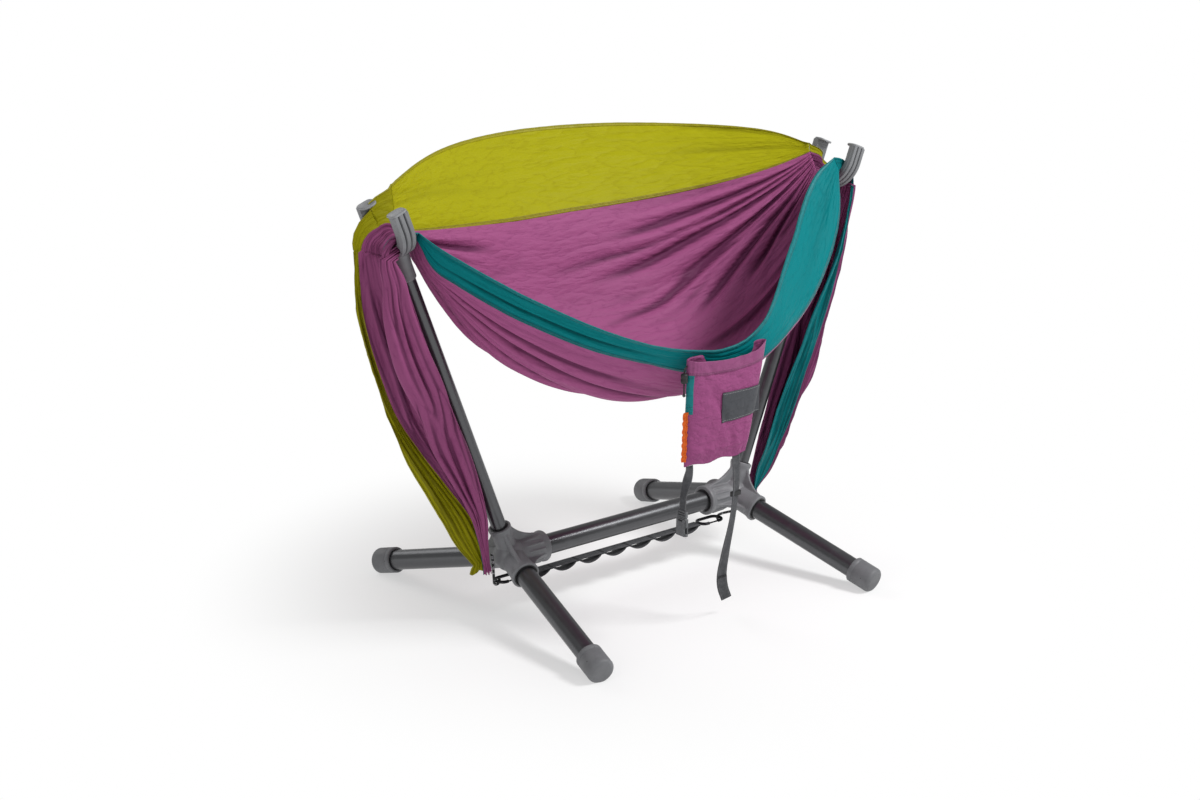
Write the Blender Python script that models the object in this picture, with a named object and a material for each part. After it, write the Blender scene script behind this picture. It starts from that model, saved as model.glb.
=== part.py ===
"""Hammock slung over its own tube stand, modelled at real size in metres, +Z up.

The origin is on the floor under the middle of the stand. +X runs along the spreader to the right hub,
and -Y is the front, where the storage pouch hangs.
"""

import math

import bmesh
import bpy
import numpy as np
from mathutils import Matrix, Vector

# Gaps between pieces that touch
SEAT_GAP = 0.0003
CLOTH_GAP = 0.0009

# Stand layout
HUB_SPACING = 0.550
HUB_HEIGHT = 0.118
MAST_LEAN = math.radians(21.5)
FOOT_RUN_X = 0.0545
FOOT_RUN_Y = 0.310
FOOT_FALL = 0.0915
CRADLE_HEIGHT = 0.755

# Tubes
BASE_TUBE_R = 0.0190
BASE_TUBE_WALL = 0.0018
MAST_TUBE_R = 0.01375
MAST_TUBE_WALL = 0.0015
TUBE_SIDES = 20

# Hubs. Each round part is turned a little from the next, so that no two of their corners meet.
CORE_R = 0.030
CORE_STEPS = 6
CORE_TURN = 0.07
SOCKET_TURN = 0.05
SOCKET_TURN_STEP = 0.03
HUB_SIDES = 18
TUBE_STOP = 0.026
BORE_OVERRUN = 0.010
BUSH_WALL = 0.0030
BUSH_LENGTH = 0.020
BUSH_PROUD = 0.0012
FOOT_SOCKET_LENGTH = 0.066
FOOT_SOCKET_WALL = 0.0045
SPREADER_SOCKET_LENGTH = 0.076
SPREADER_SOCKET_WALL = 0.0070
MAST_SOCKET_LENGTH = 0.064
MAST_SOCKET_WALL = 0.0042
SOCKET_START = 0.004
SOCKET_TAPER = 0.004
SOCKET_ROOT_WALL = 0.0035
SOCKET_RIM = 0.006
RIM_BLEND = 0.0132
RIM_STEP = 0.0025
RIM_CHAMFER = 0.0012
WEB_THICKNESS = 0.0065
WEB_START = 0.012
WEB_BITE = 0.0015
WEB_HOLLOW = 0.0385
WEB_STEPS = 6

# Foot caps
CAP_LENGTH = 0.050
CAP_R = 0.0245
CAP_DEPTH = 0.036
CAP_ROUNDING = 0.008
CAP_ROUNDING_STEPS = 3
CAP_DOME = 0.0006
CAP_EDGE = 0.0010
CAP_MOUTH_DEPTH = 0.004
CAP_MOUTH_R = 0.0215

# Cradles
CRADLE_INNER_R = 0.042
CRADLE_BAND = 0.0145
CRADLE_THICKNESS = 0.032
ARC_STEPS = 12
HORN_RISE = 0.030
LIP_REACH = 0.0125
LIP_THICKNESS = 0.0040
LIP_SINK = 0.0008
LIP_BEVEL = 0.0012
RIB_DEPTH = 0.0030
RIB_GROOVE = 0.0032
GROOVE_COUNT = 3
NECK_LENGTH = 0.046
NECK_WALL = 0.0026
NECK_TOP_HALF = 0.021
NECK_SQUASH = 0.86
NECK_BITE = 0.006
NECK_SHOULDER = 0.012
NECK_EDGE = 0.001
SLEEVE_CONE = 0.004
MAST_INSERT = 0.030

# Cloth
CLOTH_THICKNESS = 0.0018
SEAT_END_INSET = 0.0085
SADDLE_LIFT = 0.0062
HEM_SPREAD = 0.034
BACK_HEM_DEPTH = 0.266
BACK_HEM_LIFT = 0.052
BACK_HEM_END_RISE = 0.045
SEAM_SPREAD = 0.030
SEAM_DEPTH = 0.140
SEAM_END_RISE = 0.0170
SEAM_SAG = 0.055
KEEL_OFFSET = 0.070
KEEL_SAG = 0.338
FRONT_HEM_SPREAD = 0.032
FRONT_HEM_DEPTH = 0.238
FRONT_HEM_END_RISE = 0.040
FRONT_HEM_SAG = 0.240
FRONT_SEAM_SPREAD = 0.030
FRONT_SEAM_DEPTH = 0.216
FRONT_SEAM_END_RISE = 0.0160
FRONT_SEAM_SAG = 0.254
END_BULGE = 0.0042
BACK_BULGE = 0.046
FRONT_BULGE = 0.024
BACK_PLEATS = 2
CENTRE_PLEATS = 6
FRONT_PLEATS = 1
END_PLEAT = 0.0032
MID_PLEAT = 0.0075
EDGE_PLEAT_SHARE = 0.5

# Cloth beside the masts. Its route has knots at set drops below the cradle, then at shares of the height
# between the gathered end and the cradle, and last where it draws outwards, as (share, distance out).
DROP_REACH = 0.098
MAST_CLEARANCE = 0.0085
BESIDE_MAST_DROPS = (0.100, 0.155)
BESIDE_MAST_SHARES = (0.600, 0.443, 0.286)
DRAWN_OUT = ((0.168, 0.031), (0.090, 0.041))
GATHER_OUT = 0.054
GATHER_HEIGHT = 0.118
GATHER_R = 0.0115

# Tension line under the spreader
STRAP_WIDTH = 0.020
STRAP_THICKNESS = 0.0016
STRAP_HEIGHT = 0.074
LOOP_COUNT = 7
LOOP_DEPTH = 0.0100
LOOP_TACK = 0.010
LOOP_STEPS = 6
ROPE_R = 0.0025
ROPE_CLOTH_GAP = 0.0008
ROPE_STEPS = 9
CARABINER_LENGTH = 0.062
CARABINER_WIDTH = 0.032
CARABINER_R = 0.0030
GATE_SPAN = 0.024
GATE_R = 0.0016
GATE_HINGE_GAP = 0.0009
RIGHT_CARABINER_X = 0.216
LEFT_CARABINER_X = -0.276

# Pouch
POUCH_TOP_WIDTH = 0.182
POUCH_BOTTOM_WIDTH = 0.146
POUCH_HEIGHT = 0.190
POUCH_DEPTH = 0.024
POUCH_WALL = 0.0018
POUCH_CENTRE_X = -0.010
POUCH_BOTTOM_SHIFT = -0.022
POUCH_BELOW_HEM = 0.0161
POUCH_BEFORE_HEM = 0.0163
POUCH_BASE_PINCH = 0.51
POUCH_FULL_FROM = 0.07
POUCH_CORNER_SHARE = 0.45
LABEL_OFFSET = 0.036
LABEL_BELOW_TOP = 0.093
LABEL_WIDTH = 0.100
LABEL_HEIGHT = 0.052
LABEL_THICKNESS = 0.0012
PIPING_R = 0.0022
PIPING_SPAN = (0.05, 0.50)
LOCK_R = 0.0062
LOCK_LENGTH = 0.017
LOCK_EDGE = 0.0014
LOCK_BELOW_TOP = 0.030
DRAWCORD_R = 0.0014
DRAWCORD_BESIDE = 0.0016

# Straps that hang from the pouch. The long one's route is (x, y, drop) and the short one's is (x, drop).
WEBBING_WIDTH = 0.020
SHORT_WEBBING_WIDTH = 0.016
WEBBING_THICKNESS = 0.0016
STRAP_DROP = 0.0008
SHORT_STRAP_INSET = 0.013
SHORT_STRAP_ROUTE = ((0.0, 0.0), (0.0, 0.009), (-0.003, 0.022), (-0.012, 0.050), (-0.014, 0.078))
LONG_STRAP_OFFSET = 0.030
LONG_STRAP_ROUTE = (
    (0.0, 0.0, 0.0), (0.0, 0.0, 0.010), (0.004, 0.002, 0.060), (-0.001, 0.004, 0.120),
    (-0.010, 0.010, 0.185), (-0.008, 0.020, 0.230), (0.004, 0.030, 0.262), (0.022, 0.038, 0.292),
)
KEEPER_PLACE = (0.0035, 0.0026, 0.075)
KEEPER_HEIGHT = 0.008
KEEPER_WALL = 0.0012
KEEPER_SLACK = 0.0007
LADDER_SIZE = (0.0065, 0.024, 0.012)
LADDER_BEVEL = 0.0012
BUCKLE_SIZE = (0.0095, 0.026, 0.036)
BUCKLE_BEVEL = 0.0016
BUCKLE_FACE_WALL = 0.0019
BUCKLE_EDGE_WALL = 0.0024
BUCKLE_MOUTH_DEPTH = 0.024
BUCKLE_WINDOW_HEIGHT = 0.012
BUCKLE_WINDOW_SHARE = 0.62


# Scene and materials


def clear_scene():
    for obj in list(bpy.data.objects):
        bpy.data.objects.remove(obj, do_unlink=True)


def make_material(name, colour, roughness, metallic=0.0):
    material = bpy.data.materials.new(name)
    material.use_nodes = True
    shader = material.node_tree.nodes["Principled BSDF"]
    shader.inputs["Base Color"].default_value = (*colour, 1.0)
    shader.inputs["Roughness"].default_value = roughness
    shader.inputs["Metallic"].default_value = metallic
    return material


PALETTE = {
    "tube": ((0.045, 0.046, 0.050), 0.32, 0.9),
    "moulding": ((0.170, 0.172, 0.176), 0.52, 0.0),
    "bush": ((0.012, 0.012, 0.013), 0.6, 0.0),
    "rubber": ((0.155, 0.156, 0.160), 0.72, 0.0),
    "back_cloth": ((0.400, 0.390, 0.006), 0.6, 0.0),
    "centre_cloth": ((0.350, 0.090, 0.225), 0.6, 0.0),
    "front_cloth": ((0.002, 0.205, 0.220), 0.6, 0.0),
    "webbing": ((0.060, 0.061, 0.066), 0.75, 0.0),
    "rope": ((0.010, 0.010, 0.012), 0.8, 0.0),
    "carabiner": ((0.020, 0.020, 0.022), 0.35, 0.9),
    "buckle": ((0.150, 0.152, 0.156), 0.45, 0.0),
    "label": ((0.080, 0.082, 0.088), 0.8, 0.0),
    "piping": ((0.780, 0.140, 0.010), 0.6, 0.0),
}


def finish_object(name, mesh, slot, smooth_angle=40.0):
    """Puts a mesh in the scene as one named piece with its own material."""
    obj = bpy.data.objects.new(name, mesh)
    bpy.context.scene.collection.objects.link(obj)
    colour, roughness, metallic = PALETTE[slot]
    mesh.materials.append(make_material(name + "_finish", colour, roughness, metallic))
    mesh.shade_smooth()
    mesh.set_sharp_from_angle(angle=math.radians(smooth_angle))
    return obj


def mesh_from(name, points, faces):
    mesh = bpy.data.meshes.new(name)
    mesh.from_pydata([tuple(map(float, p)) for p in points], [], faces)
    work = bmesh.new()
    work.from_mesh(mesh)
    bmesh.ops.recalc_face_normals(work, faces=work.faces)
    work.to_mesh(mesh)
    work.free()
    return mesh


def make_guide(obj):
    """Marks a cutter or a joined helper, which isn't a piece of its own."""
    obj.hide_render = True
    obj.display_type = "WIRE"
    return obj


def boolean(obj, helper, operation):
    modifier = obj.modifiers.new(helper.name, "BOOLEAN")
    modifier.operation = operation
    modifier.solver = "EXACT"
    modifier.object = make_guide(helper)


def frame_at(origin, direction, side=(0.0, 1.0, 0.0)):
    """A matrix whose Z runs along direction and whose Y lies as near to side as it can."""
    z = Vector(direction).normalized()
    x = Vector(side).cross(z).normalized()
    y = z.cross(x)
    matrix = Matrix((x, y, z)).transposed().to_4x4()
    matrix.translation = Vector(origin)
    return matrix


# Turned and swept solids


def lathe(name, profile, sides, slot, place, closed=False, squash=1.0, turn=0.0):
    """Turns (radius, height) points round local Z. A closed profile makes a ring; others end on the axis."""
    points = []
    faces = []
    rings = []
    for radius, height in profile:
        if radius <= 0.0:
            rings.append([len(points)])
            points.append((0.0, 0.0, height))
            continue
        rings.append(list(range(len(points), len(points) + sides)))
        for k in range(sides):
            angle = turn + 2.0 * math.pi * k / sides
            points.append((radius * squash * math.cos(angle), radius * math.sin(angle), height))
    pairs = list(zip(rings, rings[1:]))
    if closed:
        pairs.append((rings[-1], rings[0]))
    for lower, upper in pairs:
        for k in range(sides):
            nxt = (k + 1) % sides
            if len(lower) == 1:
                faces.append((lower[0], upper[k], upper[nxt]))
            elif len(upper) == 1:
                faces.append((lower[k], lower[nxt], upper[0]))
            else:
                faces.append((lower[k], lower[nxt], upper[nxt], upper[k]))
    obj = finish_object(name, mesh_from(name, points, faces), slot)
    obj.matrix_world = place
    return obj


def sweep(name, path, outline_at, slot, closed=False):
    """Joins a ring of points at each step of a path, with flat ends unless the path closes on itself."""
    points = []
    rings = []
    for k in range(len(path)):
        ring = outline_at(k)
        rings.append(list(range(len(points), len(points) + len(ring))))
        points.extend(ring)
    faces = []
    pairs = list(zip(rings, rings[1:]))
    if closed:
        pairs.append((rings[-1], rings[0]))
    count = len(rings[0])
    for first, second in pairs:
        for k in range(count):
            nxt = (k + 1) % count
            faces.append((first[k], first[nxt], second[nxt], second[k]))
    if not closed:
        faces.append(tuple(rings[0]))
        faces.append(tuple(reversed(rings[-1])))
    return finish_object(name, mesh_from(name, points, faces), slot)


def path_frames(path, closed=False):
    """Tangents and a steady pair of cross directions along a path."""
    path = np.asarray(path, float)
    if closed:
        tangent = np.roll(path, -1, axis=0) - np.roll(path, 1, axis=0)
    else:
        tangent = np.gradient(path, axis=0)
    tangent /= np.linalg.norm(tangent, axis=1)[:, None]
    side = np.empty_like(path)
    start = np.cross(tangent[0], (0.0, 1.0, 0.0))
    if np.linalg.norm(start) < 0.2:
        start = np.cross(tangent[0], (0.0, 0.0, 1.0))
    side[0] = start / np.linalg.norm(start)
    for k in range(1, len(path)):
        flat = side[k - 1] - tangent[k] * (side[k - 1] @ tangent[k])
        side[k] = flat / np.linalg.norm(flat)
    return path, tangent, side, np.cross(tangent, side)


def round_bar(name, path, radius, sides, slot, closed=False):
    """A round rod or cord along a path."""
    path, _, side, other = path_frames(path, closed)
    turns = [2.0 * math.pi * (k + 0.5) / sides for k in range(sides)]

    def ring(k):
        return [path[k] + radius * (math.cos(a) * side[k] + math.sin(a) * other[k]) for a in turns]

    return sweep(name, path, ring, slot, closed)


def ribbon(name, path, width, thickness, slot, wide=(0.0, 1.0, 0.0)):
    """Flat webbing along a path. wide is the direction of its width, one for all steps or one for each."""
    path = np.asarray(path, float)
    wide = np.broadcast_to(np.asarray(wide, float), path.shape)
    tangent = np.gradient(path, axis=0)
    tangent /= np.linalg.norm(tangent, axis=1)[:, None]

    def ring(k):
        across = wide[k] - tangent[k] * (wide[k] @ tangent[k])
        across = across / np.linalg.norm(across) * width / 2.0
        up = np.cross(tangent[k], across)
        up = up / np.linalg.norm(up) * thickness / 2.0
        return [path[k] - across - up, path[k] + across - up, path[k] + across + up, path[k] - across + up]

    return sweep(name, path, ring, slot)


def fix_diagonals(obj):
    """Splits the faces of a twisted piece into triangles, so that each has one flat shape."""
    work = bmesh.new()
    work.from_mesh(obj.data)
    bmesh.ops.triangulate(work, faces=work.faces)
    work.to_mesh(obj.data)
    work.free()


def smooth_path(knots, count):
    """A Catmull-Rom curve through the knots, with its points spread evenly along it."""
    knots = np.asarray(knots, float)
    ends = np.vstack([2 * knots[0] - knots[1], knots, 2 * knots[-1] - knots[-2]])
    dense = []
    for k in range(len(knots) - 1):
        a, b, c, d = ends[k : k + 4]
        for u in np.linspace(0.0, 1.0, 24, endpoint=False):
            dense.append(0.5 * (2 * b + (c - a) * u + (2 * a - 5 * b + 4 * c - d) * u**2
                                + (3 * b - a - 3 * c + d) * u**3))
    dense.append(knots[-1])
    return spread_evenly(np.array(dense), count)


def spread_evenly(points, count, trim_start=0.0, trim_end=0.0):
    """Points at even steps along a polyline, which may leave a little off at either end."""
    steps = np.linalg.norm(np.diff(points, axis=0), axis=1)
    along = np.concatenate([[0.0], np.cumsum(steps)])
    wanted = np.linspace(trim_start, along[-1] - trim_end, count)
    return np.stack([np.interp(wanted, along, points[:, i]) for i in range(points.shape[1])], axis=1)


def box_solid(name, size, slot, place, bevel=0.0):
    """A block centred on its own frame, with its edges rounded where bevel is given."""
    work = bmesh.new()
    bmesh.ops.create_cube(work, size=1.0)
    for vertex in work.verts:
        vertex.co = Vector(c * s for c, s in zip(vertex.co, size))
    if bevel > 0.0:
        bmesh.ops.bevel(work, geom=list(work.edges), offset=bevel, segments=2, affect="EDGES")
    mesh = bpy.data.meshes.new(name)
    work.to_mesh(mesh)
    work.free()
    obj = finish_object(name, mesh, slot)
    obj.matrix_world = place
    return obj


# Places on the stand


def hub_centre(side):
    return Vector((side * HUB_SPACING / 2.0, 0.0, HUB_HEIGHT))


def mast_direction(side):
    return Vector((side * math.sin(MAST_LEAN), 0.0, math.cos(MAST_LEAN)))


def foot_vector(side, end):
    """From a hub's centre to the middle of a foot cap. end is -1 at the front and +1 at the back."""
    return Vector((side * FOOT_RUN_X, end * FOOT_RUN_Y, -FOOT_FALL))


def mast_x(height):
    """How far out the mast's axis is at a height."""
    return HUB_SPACING / 2.0 + (height - HUB_HEIGHT) * math.tan(MAST_LEAN)


def cradle_centre(side):
    return Vector((side * mast_x(CRADLE_HEIGHT), 0.0, CRADLE_HEIGHT))


def cradle_frame(side):
    """Local Z up the mast, local Y to the back and local X across the band."""
    return frame_at(cradle_centre(side), mast_direction(side))


def saddle_edge(inboard):
    """The cradle's saddle at its inboard or outboard edge, as a distance out and a height."""
    across = CRADLE_THICKNESS / 2.0 * inboard
    out = mast_x(CRADLE_HEIGHT) - across * math.cos(MAST_LEAN) - CRADLE_INNER_R * math.sin(MAST_LEAN)
    height = CRADLE_HEIGHT + across * math.sin(MAST_LEAN) - CRADLE_INNER_R * math.cos(MAST_LEAN)
    return out, height


SIDES = {"left": -1.0, "right": 1.0}
ENDS = {"front": -1.0, "back": 1.0}

# Stand


def tube(name, start, direction, length, radius, wall):
    profile = [(radius, 0.0), (radius, length), (radius - wall, length), (radius - wall, 0.0)]
    return lathe(name, profile, TUBE_SIDES, "tube", frame_at(start, direction), closed=True)


def build_spreader():
    length = HUB_SPACING - 2.0 * TUBE_STOP
    start = hub_centre(-1.0) + Vector((TUBE_STOP, 0.0, 0.0))
    tube("spreader_tube", start, (1.0, 0.0, 0.0), length, BASE_TUBE_R, BASE_TUBE_WALL)


def mast_top_from_hub():
    """The tube's upper end, measured up the mast from the hub's centre."""
    to_cradle = (CRADLE_HEIGHT - HUB_HEIGHT) / math.cos(MAST_LEAN)
    return to_cradle - CRADLE_INNER_R - CRADLE_BAND - NECK_LENGTH + MAST_INSERT


def build_masts():
    for side_name, side in SIDES.items():
        direction = mast_direction(side)
        start = hub_centre(side) + direction * TUBE_STOP
        length = mast_top_from_hub() - TUBE_STOP
        tube("mast_tube_" + side_name, start, direction, length, MAST_TUBE_R, MAST_TUBE_WALL)


def build_feet():
    for side_name, side in SIDES.items():
        for end_name, end in ENDS.items():
            vector = foot_vector(side, end)
            direction = vector.normalized()
            cap_mouth = vector.length - CAP_LENGTH / 2.0
            start = hub_centre(side) + direction * TUBE_STOP
            length = cap_mouth + CAP_DEPTH - SEAT_GAP - TUBE_STOP
            label = side_name + "_" + end_name
            tube("foot_tube_" + label, start, direction, length, BASE_TUBE_R, BASE_TUBE_WALL)
            build_cap("foot_cap_" + label, hub_centre(side) + direction * cap_mouth, direction)


def build_cap(name, mouth, direction):
    """A rubber cap with a rounded end and a flat underneath, where it stands on the floor."""
    bore = BASE_TUBE_R + SEAT_GAP
    profile = [(0.0, CAP_DEPTH), (bore, CAP_DEPTH), (bore, CAP_MOUTH_DEPTH), (CAP_MOUTH_R, CAP_MOUTH_DEPTH)]
    profile += [(CAP_MOUTH_R, 0.0), (CAP_R - CAP_EDGE, 0.0), (CAP_R, CAP_EDGE)]
    for k in range(CAP_ROUNDING_STEPS + 1):
        angle = math.pi / 2.0 * k / CAP_ROUNDING_STEPS
        radius = CAP_R - CAP_ROUNDING * (1.0 - math.cos(angle))
        profile.append((radius, CAP_LENGTH - CAP_ROUNDING * (1.0 - math.sin(angle))))
    profile.append((0.0, CAP_LENGTH + CAP_DOME))
    cap = lathe(name, profile, TUBE_SIDES, "rubber", frame_at(mouth, direction))
    floor_size = 4.0 * CAP_LENGTH
    place = Matrix.Translation((mouth.x, mouth.y, -floor_size / 2.0))
    boolean(cap, box_solid(name + "_floor", (floor_size,) * 3, "bush", place), "DIFFERENCE")


def socket_list(side):
    """Each socket of a hub: its name, direction, tube radius, length, wall and root radius."""
    sockets = [
        ("spreader", Vector((-side, 0.0, 0.0)), BASE_TUBE_R, SPREADER_SOCKET_LENGTH, SPREADER_SOCKET_WALL),
        ("mast", mast_direction(side), MAST_TUBE_R, MAST_SOCKET_LENGTH, MAST_SOCKET_WALL),
    ]
    for end_name, end in ENDS.items():
        direction = foot_vector(side, end).normalized()
        sockets.append((end_name, direction, BASE_TUBE_R, FOOT_SOCKET_LENGTH, FOOT_SOCKET_WALL))
    return sockets


def hub_core_profile():
    profile = [(0.0, -CORE_R)]
    for k in range(1, CORE_STEPS):
        angle = math.pi * k / CORE_STEPS
        profile.append((CORE_R * math.sin(angle), -CORE_R * math.cos(angle)))
    profile.append((0.0, CORE_R))
    return profile


def socket_profile(radius, length, wall):
    """A flared socket with a rim round its mouth."""
    mouth = radius + BUSH_WALL + wall
    root = max(radius + SEAT_GAP + SOCKET_ROOT_WALL, mouth - SOCKET_TAPER)
    return [
        (0.0, SOCKET_START),
        (root, SOCKET_START),
        (mouth - RIM_STEP, length - RIM_BLEND),
        (mouth, length - SOCKET_RIM),
        (mouth, length - RIM_CHAMFER),
        (mouth - RIM_CHAMFER, length),
        (0.0, length),
    ]


def bore_profile(radius, length):
    """The hole for a tube, wider near the mouth for its bush."""
    bore = radius + SEAT_GAP
    bush_bore = radius + BUSH_WALL + SEAT_GAP
    floor = TUBE_STOP - SEAT_GAP
    step = length - BUSH_LENGTH - SEAT_GAP
    beyond = length + BORE_OVERRUN
    return [(0.0, floor), (bore, floor), (bore, step), (bush_bore, step), (bush_bore, beyond), (0.0, beyond)]


def build_hub(side_name, side):
    """Four flared sockets on a round core, joined by webs, each bored for its tube and its bush."""
    centre = hub_centre(side)
    name = "hub_" + side_name
    hub = lathe(name, hub_core_profile(), HUB_SIDES, "moulding", Matrix.Translation(centre), turn=CORE_TURN)
    sockets = socket_list(side)
    for k, (label, direction, radius, length, wall) in enumerate(sockets):
        turn = SOCKET_TURN + SOCKET_TURN_STEP * k
        profile = socket_profile(radius, length, wall)
        place = frame_at(centre, direction)
        socket = lathe(name + "_socket_" + label, profile, HUB_SIDES, "moulding", place, turn=turn)
        boolean(hub, socket, "UNION")
    for first, second in ((0, 1), (1, 2), (1, 3), (0, 2), (0, 3)):
        boolean(hub, build_web(name, centre, sockets[first], sockets[second]), "UNION")
    for label, direction, radius, length, _ in sockets:
        place = frame_at(centre, direction)
        bore = lathe(name + "_bore_" + label, bore_profile(radius, length), TUBE_SIDES, "bush", place)
        boolean(hub, bore, "DIFFERENCE")


def build_web(name, centre, first, second):
    """A plate between two sockets, with a hollow curved edge."""
    label_a, way_a, radius_a, length_a, wall_a = first
    label_b, way_b, radius_b, length_b, wall_b = second
    out_a = (way_b - way_a * way_a.dot(way_b)).normalized()
    out_b = (way_a - way_b * way_b.dot(way_a)).normalized()
    start = way_a * (length_a - SOCKET_RIM) + out_a * (radius_a + BUSH_WALL + wall_a - WEB_BITE)
    finish = way_b * (length_b - SOCKET_RIM) + out_b * (radius_b + BUSH_WALL + wall_b - WEB_BITE)
    hollow = (way_a + way_b).normalized() * WEB_HOLLOW
    outline = [way_a * WEB_START]
    for k in range(WEB_STEPS):
        u = k / (WEB_STEPS - 1)
        outline.append(start * (1 - u) ** 2 + hollow * 2 * u * (1 - u) + finish * u**2)
    outline.append(way_b * WEB_START)
    normal = way_a.cross(way_b).normalized() * WEB_THICKNESS / 2.0
    points = [centre + p - normal for p in outline] + [centre + p + normal for p in outline]
    count = len(outline)
    faces = [tuple(range(count)), tuple(range(2 * count - 1, count - 1, -1))]
    for k in range(count):
        nxt = (k + 1) % count
        faces.append((k, nxt, count + nxt, count + k))
    full_name = name + "_web_" + label_a + "_" + label_b
    return finish_object(full_name, mesh_from(full_name, points, faces), "moulding")


def build_bushes(side_name, side):
    """The black rings in the hub's mouths."""
    for label, direction, radius, length, _ in socket_list(side):
        inner = radius + SEAT_GAP
        outer = radius + BUSH_WALL
        base = length - BUSH_LENGTH
        top = length + BUSH_PROUD
        profile = [(outer, base), (outer, top), (inner, top), (inner, base)]
        name = "socket_bush_" + side_name + "_" + label
        lathe(name, profile, TUBE_SIDES, "bush", frame_at(hub_centre(side), direction), closed=True)


def cradle_path():
    """Steps down one horn, round the saddle and up the other: a point (y, z) and its outward direction."""
    steps = [((CRADLE_INNER_R, HORN_RISE), (1.0, 0.0))]
    for k in range(ARC_STEPS + 1):
        angle = math.pi * k / ARC_STEPS
        way = (math.cos(angle), -math.sin(angle))
        steps.append(((CRADLE_INNER_R * way[0], CRADLE_INNER_R * way[1]), way))
    steps.append(((-CRADLE_INNER_R, HORN_RISE), (-1.0, 0.0)))
    return steps


def cradle_section():
    """The band's section as (across, outward), with the grooves in its outer face."""
    half = CRADLE_THICKNESS / 2.0
    floor = CRADLE_BAND - RIB_DEPTH
    pitch = CRADLE_THICKNESS / GROOVE_COUNT
    section = [(-half, 0.0), (-half, CRADLE_BAND)]
    for k in range(GROOVE_COUNT):
        near = -half + (k + 0.5) * pitch - RIB_GROOVE / 2.0
        far = near + RIB_GROOVE
        section += [(near, CRADLE_BAND), (near, floor), (far, floor), (far, CRADLE_BAND)]
    return section + [(half, CRADLE_BAND), (half, 0.0)]


def build_cradle(side_name, side):
    """A U-shaped band with grooves along its outer face, a lip on each horn, and a neck over the mast."""
    place = cradle_frame(side)
    steps = cradle_path()
    section = cradle_section()

    def ring(k):
        (y, z), (wy, wz) = steps[k]
        return [place @ Vector((a, y + wy * r, z + wz * r)) for a, r in section]

    cradle = sweep("cradle_" + side_name, steps, ring, "moulding")
    add_lips(cradle, place)
    add_neck(cradle, place)


def add_lips(cradle, place):
    """A flat lip on each horn, which hooks inwards."""
    reach = LIP_REACH + CRADLE_BAND
    size = (CRADLE_THICKNESS - 2.0 * SEAT_GAP, reach + 2.0 * SEAT_GAP, LIP_THICKNESS)
    for end_name, end in ENDS.items():
        middle = end * (CRADLE_INNER_R - LIP_REACH + reach / 2.0)
        spot = place @ Matrix.Translation((0.0, middle, HORN_RISE + LIP_THICKNESS / 2.0 - LIP_SINK))
        lip = box_solid(cradle.name + "_lip_" + end_name, size, "moulding", spot, bevel=LIP_BEVEL)
        boolean(cradle, lip, "UNION")


def add_neck(cradle, place):
    """A flattened cone below the band and a round sleeve, bored for the mast tube."""
    bore_r = MAST_TUBE_R + SEAT_GAP
    sleeve_r = bore_r + NECK_WALL
    bottom = -CRADLE_INNER_R - CRADLE_BAND - NECK_LENGTH
    top = bottom + NECK_LENGTH + NECK_BITE
    insert = bottom + MAST_INSERT
    below = bottom - BORE_OVERRUN
    neck = [(0.0, top), (NECK_TOP_HALF, top), (NECK_TOP_HALF - NECK_EDGE, top - NECK_SHOULDER)]
    neck += [(sleeve_r + NECK_EDGE, bottom + NECK_SHOULDER), (sleeve_r, bottom), (0.0, bottom)]
    sleeve = [(0.0, insert + SLEEVE_CONE), (sleeve_r, insert), (sleeve_r, bottom), (0.0, bottom)]
    bore = [(0.0, insert + SEAT_GAP), (bore_r, insert + SEAT_GAP), (bore_r, below), (0.0, below)]
    name = cradle.name
    boolean(cradle, lathe(name + "_neck", neck, TUBE_SIDES, "moulding", place, squash=NECK_SQUASH), "UNION")
    boolean(cradle, lathe(name + "_sleeve", sleeve, TUBE_SIDES, "moulding", place), "UNION")
    boolean(cradle, lathe(name + "_bore", bore, TUBE_SIDES, "moulding", place), "DIFFERENCE")


# Hammock cloth. A cross-section is a curve through seven guide points, from the back hem, over the back seam,
# down to the keel and up over the front seam to the front hem.

BACK_PANEL = (0, 1)
CENTRE_PANEL = (1, 5)
FRONT_PANEL = (5, 6)
SEAT_COLUMNS = (8, 21, 6)
DROP_COLUMNS = (7, 17, 6)
SEAT_ROWS = 17
DROP_ROWS = ((0.0, 0.10, 5), (0.13, 0.37, 7), (0.47, 1.0, 6))
LEVEL_START = 0.03
ROW_CROWDING = 0.35
PANEL_SLOTS = {"back_panel": "back_cloth", "centre_panel": "centre_cloth", "front_panel": "front_cloth"}


def seat_end_x():
    return saddle_edge(1.0)[0] - SEAT_END_INSET


def keel_end_height():
    return saddle_edge(1.0)[1] + SADDLE_LIFT


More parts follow.
